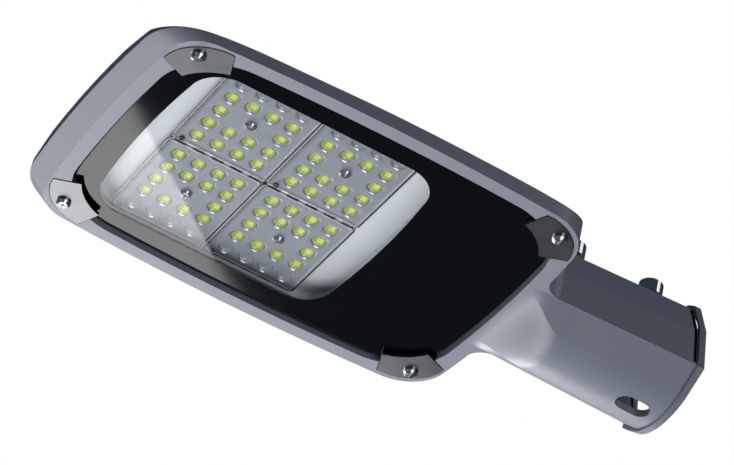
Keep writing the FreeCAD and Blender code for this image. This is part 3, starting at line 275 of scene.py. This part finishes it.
def makeKey(p):
    eye = np.array(photoView["place"])

    def mirrored(xy):
        # where the ray from the camera goes after the glass, at the softbox's distance
        point = np.array([xy[0], xy[1], p["glassZ"]])
        ray = unit(point - eye) * (1, 1, -1)
        return point + ray * p["distance"]

    start, end = mirrored(p["lineA"]), mirrored(p["lineB"])
    along = unit(end - start)
    middle = (start + end) / 2
    normal = unit(np.array(p["aim"]) - middle)
    normal = unit(normal - along * (normal @ along))
    across = np.cross(normal, along)
    # the softbox reaches from the line towards the tip of the head
    across *= -np.sign(across[0])
    place = middle + across * p["size"][1] / 2
    upright = np.cross(-normal, along)
    turn = Matrix([[along[i], upright[i], -normal[i], 0] for i in range(3)] + [[0, 0, 0, 1]])
    addSoftbox("keyBox", p).matrix_world = Matrix.Translation(Vector(place)) @ turn


# Other softboxes: broad ones below and beside, one above, and a small one that the bolts mirror
softBoxes = {
    "lowBox": {"place": (-0.8, 0.95, -2.05), "size": (1.5, 1.5), "radiance": 4.1},
    "topBox": {"place": (0.5, 1.6, 1.6), "size": (1.4, 1.4), "radiance": 0.5},
    "frontBox": {"place": (0.25, -1.2, -1.85), "size": (1.1, 1.1), "radiance": 1.2},
    "sideBox": {"place": (0.45, -2.0, -0.9), "size": (1.1, 1.1), "radiance": 2.4},
    "rearBox": {"place": (0.1, 2.1, -0.55), "size": (1.0, 1.0), "radiance": 7.0},
    "boltBox": {"place": (1.15, -1.07, 1.25), "size": (0.9, 0.5), "radiance": 1.1},
}
softBoxAim = (-0.15, 0, 0)


def makeBox(name, p):
    lamp = addSoftbox(name, p)
    lamp.location = p["place"]
    lamp.rotation_euler = (Vector(softBoxAim) - Vector(p["place"])).to_track_quat("-Z", "Y").to_euler()


# Pale round floor far below, since the lamp hangs high and the camera looks up at it
floorDisc = {"z": -4.5, "radius": 3.5, "centreX": -0.2, "sides": 64, "color": "E8E8E8", "rough": 0.8}


def makeFloor(p):
    angle = np.linspace(0, 2 * math.pi, p["sides"], endpoint=False)
    x, y = np.cos(angle) * p["radius"] + p["centreX"], np.sin(angle) * p["radius"]
    ring = np.stack([x, y, np.full(p["sides"], p["z"])], -1)
    mesh = bpy.data.meshes.new("floor")
    mesh.from_pydata(ring.tolist(), [], [list(range(p["sides"]))])
    floor = bpy.data.objects.new("floor", mesh)
    scene.collection.objects.link(floor)
    material = bpy.data.materials.new("floorPaint")
    material.use_nodes = True
    shader = material.node_tree.nodes["Principled BSDF"]
    shader.inputs["Base Color"].default_value = toLinear(p["color"])
    shader.inputs["Roughness"].default_value = p["rough"]
    mesh.materials.append(material)


makeWorld(worldLook)
makeKey(keyBox)
for name, box in softBoxes.items():
    makeBox(name, box)
makeFloor(floorDisc)
print("light and floor set")


# Shader groups that several finishes share

def newGroup(name, inputs, outputs):
    group = bpy.data.node_groups.new(name, "ShaderNodeTree")
    for label, kind, value in inputs:
        group.interface.new_socket(label, in_out="INPUT", socket_type=kind).default_value = value
    for label, kind in outputs:
        group.interface.new_socket(label, in_out="OUTPUT", socket_type=kind)
    return group, group.nodes.new("NodeGroupInput").outputs, group.nodes.new("NodeGroupOutput").inputs


grey = (0.5, 0.5, 0.5, 1)
surfaceOutputs = [
    ("Color", "NodeSocketColor"),
    ("Roughness", "NodeSocketFloat"),
    ("Height", "NodeSocketFloat"),
]

# Noise scales are per metre; the ranges say which part of the noise is used
paintSkin = {
    "peelScale": 900.0,
    "peelDetail": 1.5,
    "cloud": 0.06,
    "cloudScale": 14,
    "cloudDetail": 3,
    "cloudRange": (0.3, 0.7),
    "cloudGain": 6,
    "speckScale": 1600,
    "speckDetail": 1,
    "speckRange": (0.35, 0.65),
    "speckShare": 0.35,
    "darker": (0.86, 0.87, 0.89, 1),
    "gloss": 0.4,
    "glossSwing": 0.02,
}


def makePaintSkin(p):
    # fine peel of sprayed paint: cloudy tone, speckle, roughness and height
    inputs = [("Color", "NodeSocketColor", grey), ("Peel", "NodeSocketFloat", p["peelScale"]),
              ("Cloud", "NodeSocketFloat", p["cloud"]), ("Gloss", "NodeSocketFloat", p["gloss"])]
    tree, given, put = newGroup("paintSkin", inputs, surfaceOutputs)
    coords = objectCoords(tree)
    cloud = noiseValue(tree, coords, p["cloudScale"], p["cloudDetail"])
    speckle = noiseValue(tree, coords, p["speckScale"], p["speckDetail"])
    peel = noiseValue(tree, coords, given["Peel"], p["peelDetail"])
    dark = mixColor(tree, 1.0, given["Color"], p["darker"], "MULTIPLY")
    cloudLevel = mapRange(tree, cloud, *p["cloudRange"], 0, p["cloudGain"])
    cloudy = mixColor(tree, mathNode(tree, "MULTIPLY", cloudLevel, given["Cloud"]), given["Color"], dark)
    speckLevel = mapRange(tree, speckle, *p["speckRange"], 0, p["speckShare"])
    tree.links.new(mixColor(tree, speckLevel, cloudy, dark), put["Color"])
    swing = mapRange(tree, cloud, *p["cloudRange"], -p["glossSwing"], p["glossSwing"])
    tree.links.new(mathNode(tree, "ADD", given["Gloss"], swing), put["Roughness"])
    tree.links.new(peel, put["Height"])
    return tree


brushLines = {
    "stretch": (60, 2600, 60),
    "turnDegrees": 24,
    "lineScale": 1.0,
    "lineDetail": 3,
    "lineRough": 0.6,
    "lineRange": (0.35, 0.65),
    "patchScale": 90,
    "patchDetail": 2,
    "patchRange": (0.3, 0.7),
    "glossRange": (0.94, 1.06),
    "darker": (0.72, 0.72, 0.73, 1),
    "depth": 0.3,
    "gloss": 0.3,
}


def makeBrushLines(p):
    # drawn lines of rolled or brushed sheet, long in one direction of the glass plane
    inputs = [("Color", "NodeSocketColor", grey), ("Depth", "NodeSocketFloat", p["depth"]),
              ("Gloss", "NodeSocketFloat", p["gloss"])]
    tree, given, put = newGroup("brushLines", inputs, surfaceOutputs)
    coords = objectCoords(tree)
    stretch = tree.nodes.new("ShaderNodeMapping")
    stretch.inputs["Scale"].default_value = p["stretch"]
    stretch.inputs["Rotation"].default_value = (0, 0, math.radians(p["turnDegrees"]))
    tree.links.new(coords, stretch.inputs["Vector"])
    lines = noiseValue(tree, stretch.outputs[0], p["lineScale"], p["lineDetail"], p["lineRough"])
    patches = noiseValue(tree, coords, p["patchScale"], p["patchDetail"])
    dark = mixColor(tree, 1.0, given["Color"], p["darker"], "MULTIPLY")
    share = mathNode(tree, "MULTIPLY", mapRange(tree, lines, *p["lineRange"], 0, 1), given["Depth"])
    tree.links.new(mixColor(tree, share, given["Color"], dark), put["Color"])
    swing = mapRange(tree, patches, *p["patchRange"], *p["glossRange"])
    tree.links.new(mathNode(tree, "MULTIPLY", given["Gloss"], swing), put["Roughness"])
    tree.links.new(lines, put["Height"])
    return tree


# Middle and half width of the slit's room in millimetres, along X and up Z
slitRoom = {"X": (-1.3, 0.85), "Z": (6, 22)}


def makeSlitShade(p):
    # 1 inside the narrow slit beside the mouth of the neck, on its upper facets, and 0 elsewhere: where the
    # housing's colour gets painted shade
    tree, given, put = newGroup("slitShade", [], [("Mask", "NodeSocketFloat")])
    split = tree.nodes.new("ShaderNodeSeparateXYZ")
    tree.links.new(objectCoords(tree), split.inputs[0])
    inside = [mathNode(tree, "COMPARE", split.outputs[axis], middle * mm, half * mm)
              for axis, (middle, half) in p.items()]
    tree.links.new(mathNode(tree, "MULTIPLY", *inside), put["Mask"])
    return tree


groups = {
    "paintSkin": makePaintSkin(paintSkin),
    "brushLines": makeBrushLines(brushLines),
    "slitShade": makeSlitShade(slitRoom),
}


# Finishes

# Heights that the bump patterns stand for, in metres
relief = {"paint": 0.00005, "lines": 0.00003, "glass": 0.0005}
# colours of the painted shade and the painted highlight
paintedShadeAndHighlightColors = {"dark": "04070A", "pale": "F4F6F8", "domeDark": "181C22"}


def newMaterial(name):
    material = bpy.data.materials.new(name)
    material.use_nodes = True
    return material, material.node_tree, material.node_tree.nodes["Principled BSDF"]


def groupNode(tree, group, **values):
    node = tree.nodes.new("ShaderNodeGroup")
    node.node_tree = groups[group]
    for label, value in values.items():
        node.inputs[label].default_value = value
    return node.outputs


def addBump(tree, shader, height, strength, distance):
    bump = tree.nodes.new("ShaderNodeBump")
    bump.inputs["Strength"].default_value = strength
    bump.inputs["Distance"].default_value = distance
    tree.links.new(height, bump.inputs["Height"])
    tree.links.new(bump.outputs["Normal"], shader.inputs["Normal"])


def paintFinish(name, color, gloss=0.4, cloud=0.06, bump=0.15, metallic=0.0, coat=0.0, coatRough=0.2):
    material, tree, shader = newMaterial(name)
    skin = groupNode(tree, "paintSkin", Color=toLinear(color), Cloud=cloud, Gloss=gloss)
    tree.links.new(skin["Color"], shader.inputs["Base Color"])
    tree.links.new(skin["Roughness"], shader.inputs["Roughness"])
    shader.inputs["Metallic"].default_value = metallic
    shader.inputs["Coat Weight"].default_value = coat
    shader.inputs["Coat Roughness"].default_value = coatRough
    addBump(tree, shader, skin["Height"], bump, relief["paint"])
    return material


def paintSlitShade(material, color=(0.001, 0.001, 0.001, 1)):
    # painted shade: the slit's colour is painted near black, since hardly any light gets into it
    tree = material.node_tree
    shader = tree.nodes["Principled BSDF"]
    base, rough, coat = (shader.inputs[label] for label in ("Base Color", "Roughness", "Coat Weight"))
    mask = groupNode(tree, "slitShade")["Mask"]
    tree.links.new(mixColor(tree, mask, base.links[0].from_socket, color), base)
    tree.links.new(mapRange(tree, mask, 0, 1, rough.links[0].from_socket, 1), rough)
    tree.links.new(mapRange(tree, mask, 0, 1, coat.default_value, 0), coat)
    return material


def enamelFinish(material, ior=1.75):
    # fired enamel mirrors more than plain paint
    material.node_tree.nodes["Principled BSDF"].inputs["IOR"].default_value = ior
    return material


def paintPlateShadeAndHighlight(material):
    # painted shade and painted highlight: the mesh's shade attribute darkens the colour towards 1 and
    # lightens it towards -1
    tree = material.node_tree
    base = tree.nodes["Principled BSDF"].inputs["Base Color"]
    level = attributeLevel(tree, "shade")
    darkShare = mapRange(tree, level, 0, 1, 0, 1)
    paleShare = mapRange(tree, level, 0, -1, 0, 1)
    dark = mixColor(tree, darkShare, base.links[0].from_socket, toLinear(paintedShadeAndHighlightColors["dark"]))
    tree.links.new(mixColor(tree, paleShare, dark, toLinear(paintedShadeAndHighlightColors["pale"])), base)
    return material


chipLook = {"peel": 600.0, "cloud": 0.05, "gloss": 0.4, "bump": 0.1, "coreRange": (0.35, 0.55)}


def chipFinish(name, rim, core):
    # phosphor of a chip: deeper at the rim, paler over the die, by the mesh's core attribute
    p = chipLook
    material, tree, shader = newMaterial(name)
    color = toLinear(rim)
    skin = groupNode(tree, "paintSkin", Color=color, Peel=p["peel"], Cloud=p["cloud"], Gloss=p["gloss"])
    inner = mapRange(tree, attributeLevel(tree, "core"), *p["coreRange"], 0, 1)
    tree.links.new(mixColor(tree, inner, skin["Color"], toLinear(core)), shader.inputs["Base Color"])
    tree.links.new(skin["Roughness"], shader.inputs["Roughness"])
    addBump(tree, shader, skin["Height"], p["bump"], relief["paint"])
    return material


def metalFinish(name, color, depth, bump, gloss):
    material, tree, shader = newMaterial(name)
    lines = groupNode(tree, "brushLines", Color=toLinear(color), Depth=depth, Gloss=gloss)
    tree.links.new(lines["Color"], shader.inputs["Base Color"])
    tree.links.new(lines["Roughness"], shader.inputs["Roughness"])
    shader.inputs["Metallic"].default_value = 1.0
    addBump(tree, shader, lines["Height"], bump, relief["lines"])
    return material


ripple = {"scale": 12, "detail": 1, "bump": 0.02}


def glassFinish(name, tint, ior, mirror=0.5):
    # clear solid; light that only passes on its way to other pieces goes straight through
    material, tree, shader = newMaterial(name)
    shader.inputs["Base Color"].default_value = toLinear(tint)
    shader.inputs["Roughness"].default_value = 0.0
    shader.inputs["IOR"].default_value = ior
    shader.inputs["Transmission Weight"].default_value = 1.0
    shader.inputs["Specular IOR Level"].default_value = mirror
    waves = noiseValue(tree, objectCoords(tree), ripple["scale"], ripple["detail"])
    addBump(tree, shader, waves, ripple["bump"], relief["glass"])
    clear = tree.nodes.new("ShaderNodeBsdfTransparent")
    clear.inputs["Color"].default_value = toLinear(tint)
    path = tree.nodes.new("ShaderNodeLightPath").outputs
    mix = tree.nodes.new("ShaderNodeMixShader")
    passing = mathNode(tree, "MAXIMUM", path["Is Shadow Ray"], path["Is Diffuse Ray"])
    tree.links.new(passing, mix.inputs["Fac"])
    tree.links.new(shader.outputs[0], mix.inputs[1])
    tree.links.new(clear.outputs[0], mix.inputs[2])
    tree.links.new(mix.outputs[0], tree.nodes["Material Output"].inputs["Surface"])
    return material


# painted highlight and painted shade of the domes' crescents; the bright ones glow by emission
domePaintedGlints = {"darkRange": (0.2, 0.6), "brightRange": (-0.25, -0.6), "black": (0, 0, 0, 1), "strength": 0.85}


def paintDomeGlintsAndShade(material):
    # painted highlight and painted shade: bright crescents near each dome's edge glow by emission and dark
    # ones are painted into its colour
    p = domePaintedGlints
    tree = material.node_tree
    shader = tree.nodes["Principled BSDF"]
    base = shader.inputs["Base Color"]
    level = attributeLevel(tree, "shade")
    dark = mapRange(tree, level, *p["darkRange"], 0, 1)
    bright = mapRange(tree, level, *p["brightRange"], 0, 1)
    darkColor, brightColor = toLinear(paintedShadeAndHighlightColors["domeDark"]), toLinear(paintedShadeAndHighlightColors["pale"])
    tree.links.new(mixColor(tree, dark, base.default_value[:], darkColor), base)
    tree.links.new(mixColor(tree, bright, p["black"], brightColor), shader.inputs["Emission Color"])
    shader.inputs["Emission Strength"].default_value = p["strength"]
    return material


finishes = {
    "housing": paintSlitShade(paintFinish("housingPaint", "868C99", gloss=0.42, coat=0.15)),
    "collar": paintFinish("collarPaint", "7D8390", gloss=0.4),
    "enamel": enamelFinish(paintFinish("blackEnamel", "040404", gloss=0.05, cloud=0.02, bump=0.01)),
    "rubber": paintFinish("blackRubber", "141414", gloss=0.7),
    "clip": metalFinish("clipSteel", "8A8A8C", depth=0.04, bump=0.006, gloss=0.23),
    "screw": metalFinish("screwChrome", "E6E6E8", depth=0.1, bump=0.03, gloss=0.12),
    "bolt": metalFinish("boltChrome", "DADCE0", depth=0.08, bump=0.02, gloss=0.08),
    "tray": paintFinish("trayPaint", "E6EAEE", gloss=0.5),
    "board": paintFinish("boardMask", "D8D8D4", gloss=0.35),
    "chip": chipFinish("chipPhosphor", "A8BE02", "D8E27C"),
    "seal": paintFinish("sealRubber", "8E9398", gloss=0.4),
    "plate": paintPlateShadeAndHighlight(paintFinish("plateBack", "8F959E", gloss=0.35, cloud=0.03, coat=0.3)),
    "dome": paintDomeGlintsAndShade(glassFinish("domeClear", "FCFDFD", 1.49)),
    "nub": paintFinish("nubGrey", "4A4E54", gloss=0.2),
    "driver": paintFinish("driverCase", "B8B8B8", gloss=0.35, metallic=0.6),
    "plastic": paintFinish("blockPlastic", "C8C8C2", gloss=0.5),
    "gland": paintFinish("glandPlastic", "1A1A1C", gloss=0.5),
    "glass": glassFinish("coverGlass", "FDFEFE", 1.5, mirror=0.06),
}
print("finishes made")

# Finish of each CAD node by the start of its name; the longest start that fits is the one used
nodeFinish = {
    "housing": "housing", "socket_collar": "collar", "glass_cover": "glass", "glass_gasket": "rubber",
    "glass_border": "enamel", "clip_": "clip", "clip_pads": "rubber", "clip_screws": "screw",
    "lens_screws": "screw", "driver_screws": "screw", "reflector_tray": "tray", "led_driver": "driver",
    "surge_protector": "driver", "terminal_block": "plastic", "cable_gland": "gland",
    "gland_locknut": "gland", "clamp_bolts": "bolt", "led_board": "board", "led_chips": "chip",
    "lens_seal": "seal", "lens_plate": "plate",
}
for name, node in nodes.items():
    start = max((start for start in nodeFinish if name.startswith(start)), key=len)
    node.data.materials.clear()
    node.data.materials.append(finishes[nodeFinish[start]])
print("CAD nodes dressed")


# Lens modules, in millimetres about each module's centre; heights are those of the part's frame

module = {
    "arrayX": -251,
    "apartX": 28.58,
    "apartY": 36.72,
    "pitchX": 12,
    "pitchY": 13.04,
    "columns": 4,
    "rows": 5,
    "screwRow": 2,
    "face": -7,
    "floor": -5.75,
    "back": -5.6,
}


def squareRing(nx, ny):
    # points round the square of half side 1, nx on the sides along X and ny on the others
    u, v = np.linspace(-1, 1, nx, endpoint=False), np.linspace(-1, 1, ny, endpoint=False)
    sides = [(u, np.full(nx, -1)), (np.full(ny, 1), v), (-u, np.full(nx, 1)), (np.full(ny, -1), -v)]
    return np.vstack([np.stack(side, -1) for side in sides])


def withHeight(ring, z):
    return np.column_stack([ring, np.full(len(ring), z)])


def revolve(profile, centre, sides):
    # profile rows of (radius, height) turned about the upright line through the centre
    angle = np.linspace(0, 2 * math.pi, sides, endpoint=False)
    turn = np.stack([np.cos(angle), np.sin(angle)], -1)
    return [withHeight(turn * radius + centre, z) for radius, z in profile]


def shadedMesh(name, rings, levels):
    # grid mesh that carries a painted shade level for each of its points; levels below 0 are painted
    # highlight
    mesh = gridMesh(name, np.stack(rings))
    data = np.concatenate([np.broadcast_to(level, len(rings[0])) for level in levels])
    mesh.attributes.new("shade", "FLOAT", "POINT").data.foreach_set("value", data.astype(np.float32))
    return mesh


def domePlaces(m):
    # row and place of each dome; the middle of the screw's row is left free
    places = []
    for row in range(m["rows"]):
        for column in range(m["columns"]):
            if row != m["screwRow"] or column in (0, m["columns"] - 1):
                x = (column - (m["columns"] - 1) / 2) * m["pitchX"]
                places.append((row, x, (row - m["screwRow"]) * m["pitchY"]))
    return places


# Grey plate with a round well for each dome, a hole for the screw and a moulded edge, with painted shade in
# the wells, along the edge and up its outer wall, and painted highlight strips by the edge. Each edge row is
# (inset, height over the face, and the painted shade, below 0 painted highlight, on the sides along X, in
# their dashes and on the sides along Y).
plate = {
    "halfX": 28.5,
    "halfY": 36.5,
    "corner": 3,
    "leastCorner": 0.8,
    "sideCut": 2.2,
    "edgeCounts": (240, 96),
    "dashPitch": 11.4,
    "dashShare": 0.45,
    "dashSharp": 9,
    "edgeRows": [
        (2.9, 0, 0, 0, 0), (2.75, 0, 0.5, 0, 0), (2.45, 0, 0.5, 0, 0), (2.3, -0.05, 0, 0, 0),
        (2.1, -0.2, -0.3, 0, 0), (1.5, -0.3, -0.3, 0, 0), (1.3, -0.35, 0, 0.2, 0), (1.15, -0.3, 0, 1, 1),
        (0.35, -0.3, 0, 1, 1), (0.2, -0.25, 0, 1, -0.5), (0, -0.2, 0, 1, -0.5), (0, 0.4, 0, 0.5, 0),
    ],
    "backShade": 0.5,
    "wellRadius": 4.18,
    "wellRim": 1.04,
    "wellLip": 0.1,
    "wellShade": 0.7,
    "wellFloor": 0.9,
    "wellCounts": (16, 16),
    "screwRadius": 1.75,
    "screwCounts": (32, 16),
}


def cellMesh(centre, half, counts, radius, withFloor):
    # from the cell's rectangle to the round well, matched by direction, then down to its floor or through
    p, m = plate, module
    edge = squareRing(*counts) * half
    angle = np.arctan2(edge[:, 1], edge[:, 0])
    hole = np.stack([np.cos(angle), np.sin(angle)], -1) * radius
    # painted shade on the well's lip and wall, in the gap round the dome's foot
    shade = p["wellShade"]
    rows = [(edge, m["face"], 0), ((edge + hole) / 2, m["face"], 0), (hole * p["wellRim"], m["face"], 0)]
    rows.append((hole, m["face"] + p["wellLip"], shade))
    if withFloor:
        rows += [(hole, m["floor"], shade), (hole * p["wellFloor"], m["floor"], 0)]
        rows += [(hole * 0, m["floor"], 0), (hole * 0, m["back"], 0)]
    rows += [(hole, m["back"], 0), (edge, m["back"], 0)]
    rings = [withHeight(ring + centre, z) for ring, z, level in rows]
    return shadedMesh("cell", rings, [level for ring, z, level in rows])


def roundedRing(edge, inset):
    # the cells' outer rectangle stretched to the plate's outline; near a corner the point moves onto the arc
    half = np.array([plate["halfX"], plate["halfY"]]) - inset
    radius = max(plate["corner"] - inset, plate["leastCorner"])
    inner = half - radius
    point = edge * half
    over = np.maximum(np.abs(point) - inner, 0)
    length = np.maximum(np.hypot(over[:, 0], over[:, 1]), tiny)[:, None]
    reach = np.where((over > 0).all(1)[:, None], over / length * radius, over)
    return np.sign(point) * (np.minimum(np.abs(point), inner) + reach)


def plateMargin():
    # the flat margin, then the moulded edge: painted shade as a dark line with a painted highlight strip at
    # the outer edge on the sides along Y, and as dark dashes with a painted highlight line beside them on
    # the sides along X
    p, m = plate, module
    edge = squareRing(*p["edgeCounts"])
    cells = edge * (m["columns"] / 2 * m["pitchX"], m["rows"] / 2 * m["pitchY"])
    alongX = np.abs(edge[:, 0]) < np.abs(edge[:, 1]) * (1 - p["sideCut"] / p["halfX"])
    alongY = np.where(alongX, 0, 1)
    wave = np.cos(edge[:, 0] * p["halfX"] * 2 * math.pi / p["dashPitch"]) + p["dashShare"]
    dash = np.where(alongX, (1 + np.tanh(p["dashSharp"] * wave)) / 2, 0)
    rings, levels = [withHeight(cells, m["face"])], [0]
    for inset, height, shadeX, shadeDash, shadeY in p["edgeRows"]:
        rings.append(withHeight(roundedRing(edge, inset), m["face"] + height))
        levels.append(alongX * shadeX + dash * shadeDash + alongY * shadeY)
    rings += [withHeight(roundedRing(edge, 0), m["back"]), withHeight(cells, m["back"])]
    return shadedMesh("margin", rings, levels + [p["backShade"], 0])


def lensPlateMesh(name, origin):
    p, m = plate, module
    half = (m["pitchX"] / 2, m["pitchY"] / 2)
    meshes = [plateMargin()]
    for row, x, y in domePlaces(m):
        meshes.append(cellMesh((x, y), half, p["wellCounts"], p["wellRadius"], True))
    # the screw's cell takes the place of the two middle ones
    meshes.append(cellMesh((0, 0), (m["pitchX"], half[1]), p["screwCounts"], p["screwRadius"], False))
    return placeMesh(joinMeshes(name, meshes), origin)


# Clear domes with painted crescents, glowing painted highlights and painted shade. Each crescent is (turn
# and spread in degrees, reach, level), seen along the glint line.
dome = {
    "radius": 3.98,
    "flat": -5.7,
    "foot": -7.05,
    "peak": -10.2,
    "power": 0.9,
    "flatShare": 0.6,
    "footEdge": 0.15,
    "steps": 26,
    "sides": 60,
    "glintLine": (-0.2985, -0.7348, -0.609),
    "crescents": [(12, 34, 0.12, 0.9), (150, 20, 0.5, 1), (100, 30, 0.42, -1)],
    "fade": 0.12,
    "spreadEnd": 1.5,
    "leastShare": 0.35,
    "footMargin": 0.01,
}


def domeRows(p):
    # flat back, short upright foot, then r = R cos(t)^power, z = foot - rise sin(t), up to the closed peak
    r, flat = p["radius"], p["flat"]
    rows = [(0, flat), (r * p["flatShare"], flat), (r - p["footEdge"], flat), (r, flat - p["footEdge"])]
    for t in np.linspace(0, math.pi / 2, p["steps"])[:-1]:
        rows.append((r * math.cos(t) ** p["power"], p["foot"] - (p["foot"] - p["peak"]) * math.sin(t)))
    return rows + [(0, p["peak"])]


def domeLevels(rows, p):
    # a point's level, painted shade above 0 and a glowing painted highlight below 0, is a crescent's where
    # its turn is near and its normal nearly square to the glint line
    degrees = np.linspace(0, 360, p["sides"], endpoint=False)
    turn = np.radians(degrees)
    rise = p["foot"] - p["peak"]
    levels = []
    for radius, z in rows:
        out, down = radius / p["radius"] ** 2, min((z - p["foot"]) / rise ** 2, 0)
        normal = np.stack([np.cos(turn) * out, np.sin(turn) * out, np.full(p["sides"], down)], -1)
        normal /= max(math.hypot(out, down), tiny)
        facing = normal @ np.array(p["glintLine"])
        level = np.zeros(p["sides"])
        for centre, spread, reach, value in p["crescents"]:
            apart = np.abs((degrees - centre + 180) % 360 - 180)
            near = np.clip(p["spreadEnd"] - apart / spread, 0, 1)
            share = near * np.clip((reach - facing) / p["fade"] + 0.5, 0, 1)
            level = np.where(share > p["leastShare"], value * share, level)
        levels.append(level if z < p["foot"] + p["footMargin"] else level * 0)
    return levels


def domesMesh(name, origin):
    rows = domeRows(dome)
    levels = domeLevels(rows, dome)
    meshes = [shadedMesh("dome", revolve(rows, (x, y), dome["sides"]), levels)
              for row, x, y in domePlaces(module)]
    return placeMesh(joinMeshes(name, meshes), origin)


# LED chips: rounded squares with a smaller square for the die on top
chip = {
    "half": 2.05,
    "top": -6.1,
    "counts": (6, 6),
    "power": 5,
    "inFloor": 0.1,
    "bevel": 0.1,
    "bevelShare": 0.95,
    "dieHalf": 0.9,
    "dieEdge": 0.06,
    "dieShift": (0.16, 0.04),
}


def chipsMesh(name, p, origin, emptyRow):
    # the rings run from the middle of the chip's foot up its side and to the middle of its top
    foot, top, shift = module["floor"] + p["inFloor"], p["top"], p["dieShift"]
    edge = squareRing(*p["counts"])
    rounded = edge / (np.abs(edge) ** p["power"]).sum(1)[:, None] ** (1 / p["power"])
    die = p["dieHalf"] / p["half"]
    rings = [(rounded * 0, foot, 0), (rounded, foot, 0), (rounded, top + p["bevel"], 0),
             (rounded * p["bevelShare"], top, 0), (edge * (die + p["dieEdge"]) + shift, top, 0),
             (edge * die + shift, top, 1), (edge * 0 + shift, top, 1)]
    meshes = []
    for row, x, y in domePlaces(module):
        if row != emptyRow:
            points = [withHeight(ring * p["half"] + (x, y), z) for ring, z, core in rings]
            meshes.append(gridMesh("chip", np.stack(points)))
    mesh = joinMeshes(name, meshes)
    cores = [core for ring, z, core in rings for k in range(len(edge))] * len(meshes)
    mesh.attributes.new("core", "FLOAT", "POINT").data.foreach_set("value", cores)
    return placeMesh(mesh, origin)


# Moulded nub in a corner of the plate; its profile is in shares of the radius and of the height
nub = {
    "x": -23.3,
    "y": 33.74,
    "radius": 1.6,
    "height": 1.1,
    "root": 0.3,
    "sides": 24,
    "profile": [(1, 0.6), (0.86, 1), (0.6, 1), (0.45, 0.5), (0, 0.4)],
}


def nubMesh(name, p, origin):
    face = module["face"]
    profile = [(0, face + p["root"]), (p["radius"], face + p["root"])]
    profile += [(p["radius"] * out, face - p["height"] * down) for out, down in p["profile"]]
    rings = revolve(profile, (p["x"], p["y"]), p["sides"])
    return placeMesh(gridMesh(name, np.stack(rings)), origin)


for number, (signX, signY) in enumerate([(-1, -1), (1, -1), (-1, 1), (1, 1)], start=1):
    origin = (module["arrayX"] + signX * module["apartX"], signY * module["apartY"])
    label = "Module%d" % number
    stands = ["lens_plate_%d" % number]
    lensPlate = lensPlateMesh("plate" + label, origin)
    addPiece("plate" + label, lensPlate, finishes["plate"], stands)
    domes = domesMesh("domes" + label, origin)
    addPiece("domes" + label, domes, finishes["dome"], stands)
    nubPiece = nubMesh("nub" + label, nub, origin)
    addPiece("nub" + label, nubPiece, finishes["nub"], stands)
    # the row of domes farthest from the middle of the array has no chips
    emptyRow = module["rows"] - 1 if signY > 0 else 0
    chips = chipsMesh("chips" + label, chip, origin, emptyRow)
    addPiece("chips" + label, chips, finishes["chip"], ["led_chips_%d" % number])
print("lens modules made")

scene.view_settings.view_transform = "Standard"
print("all pieces in place")
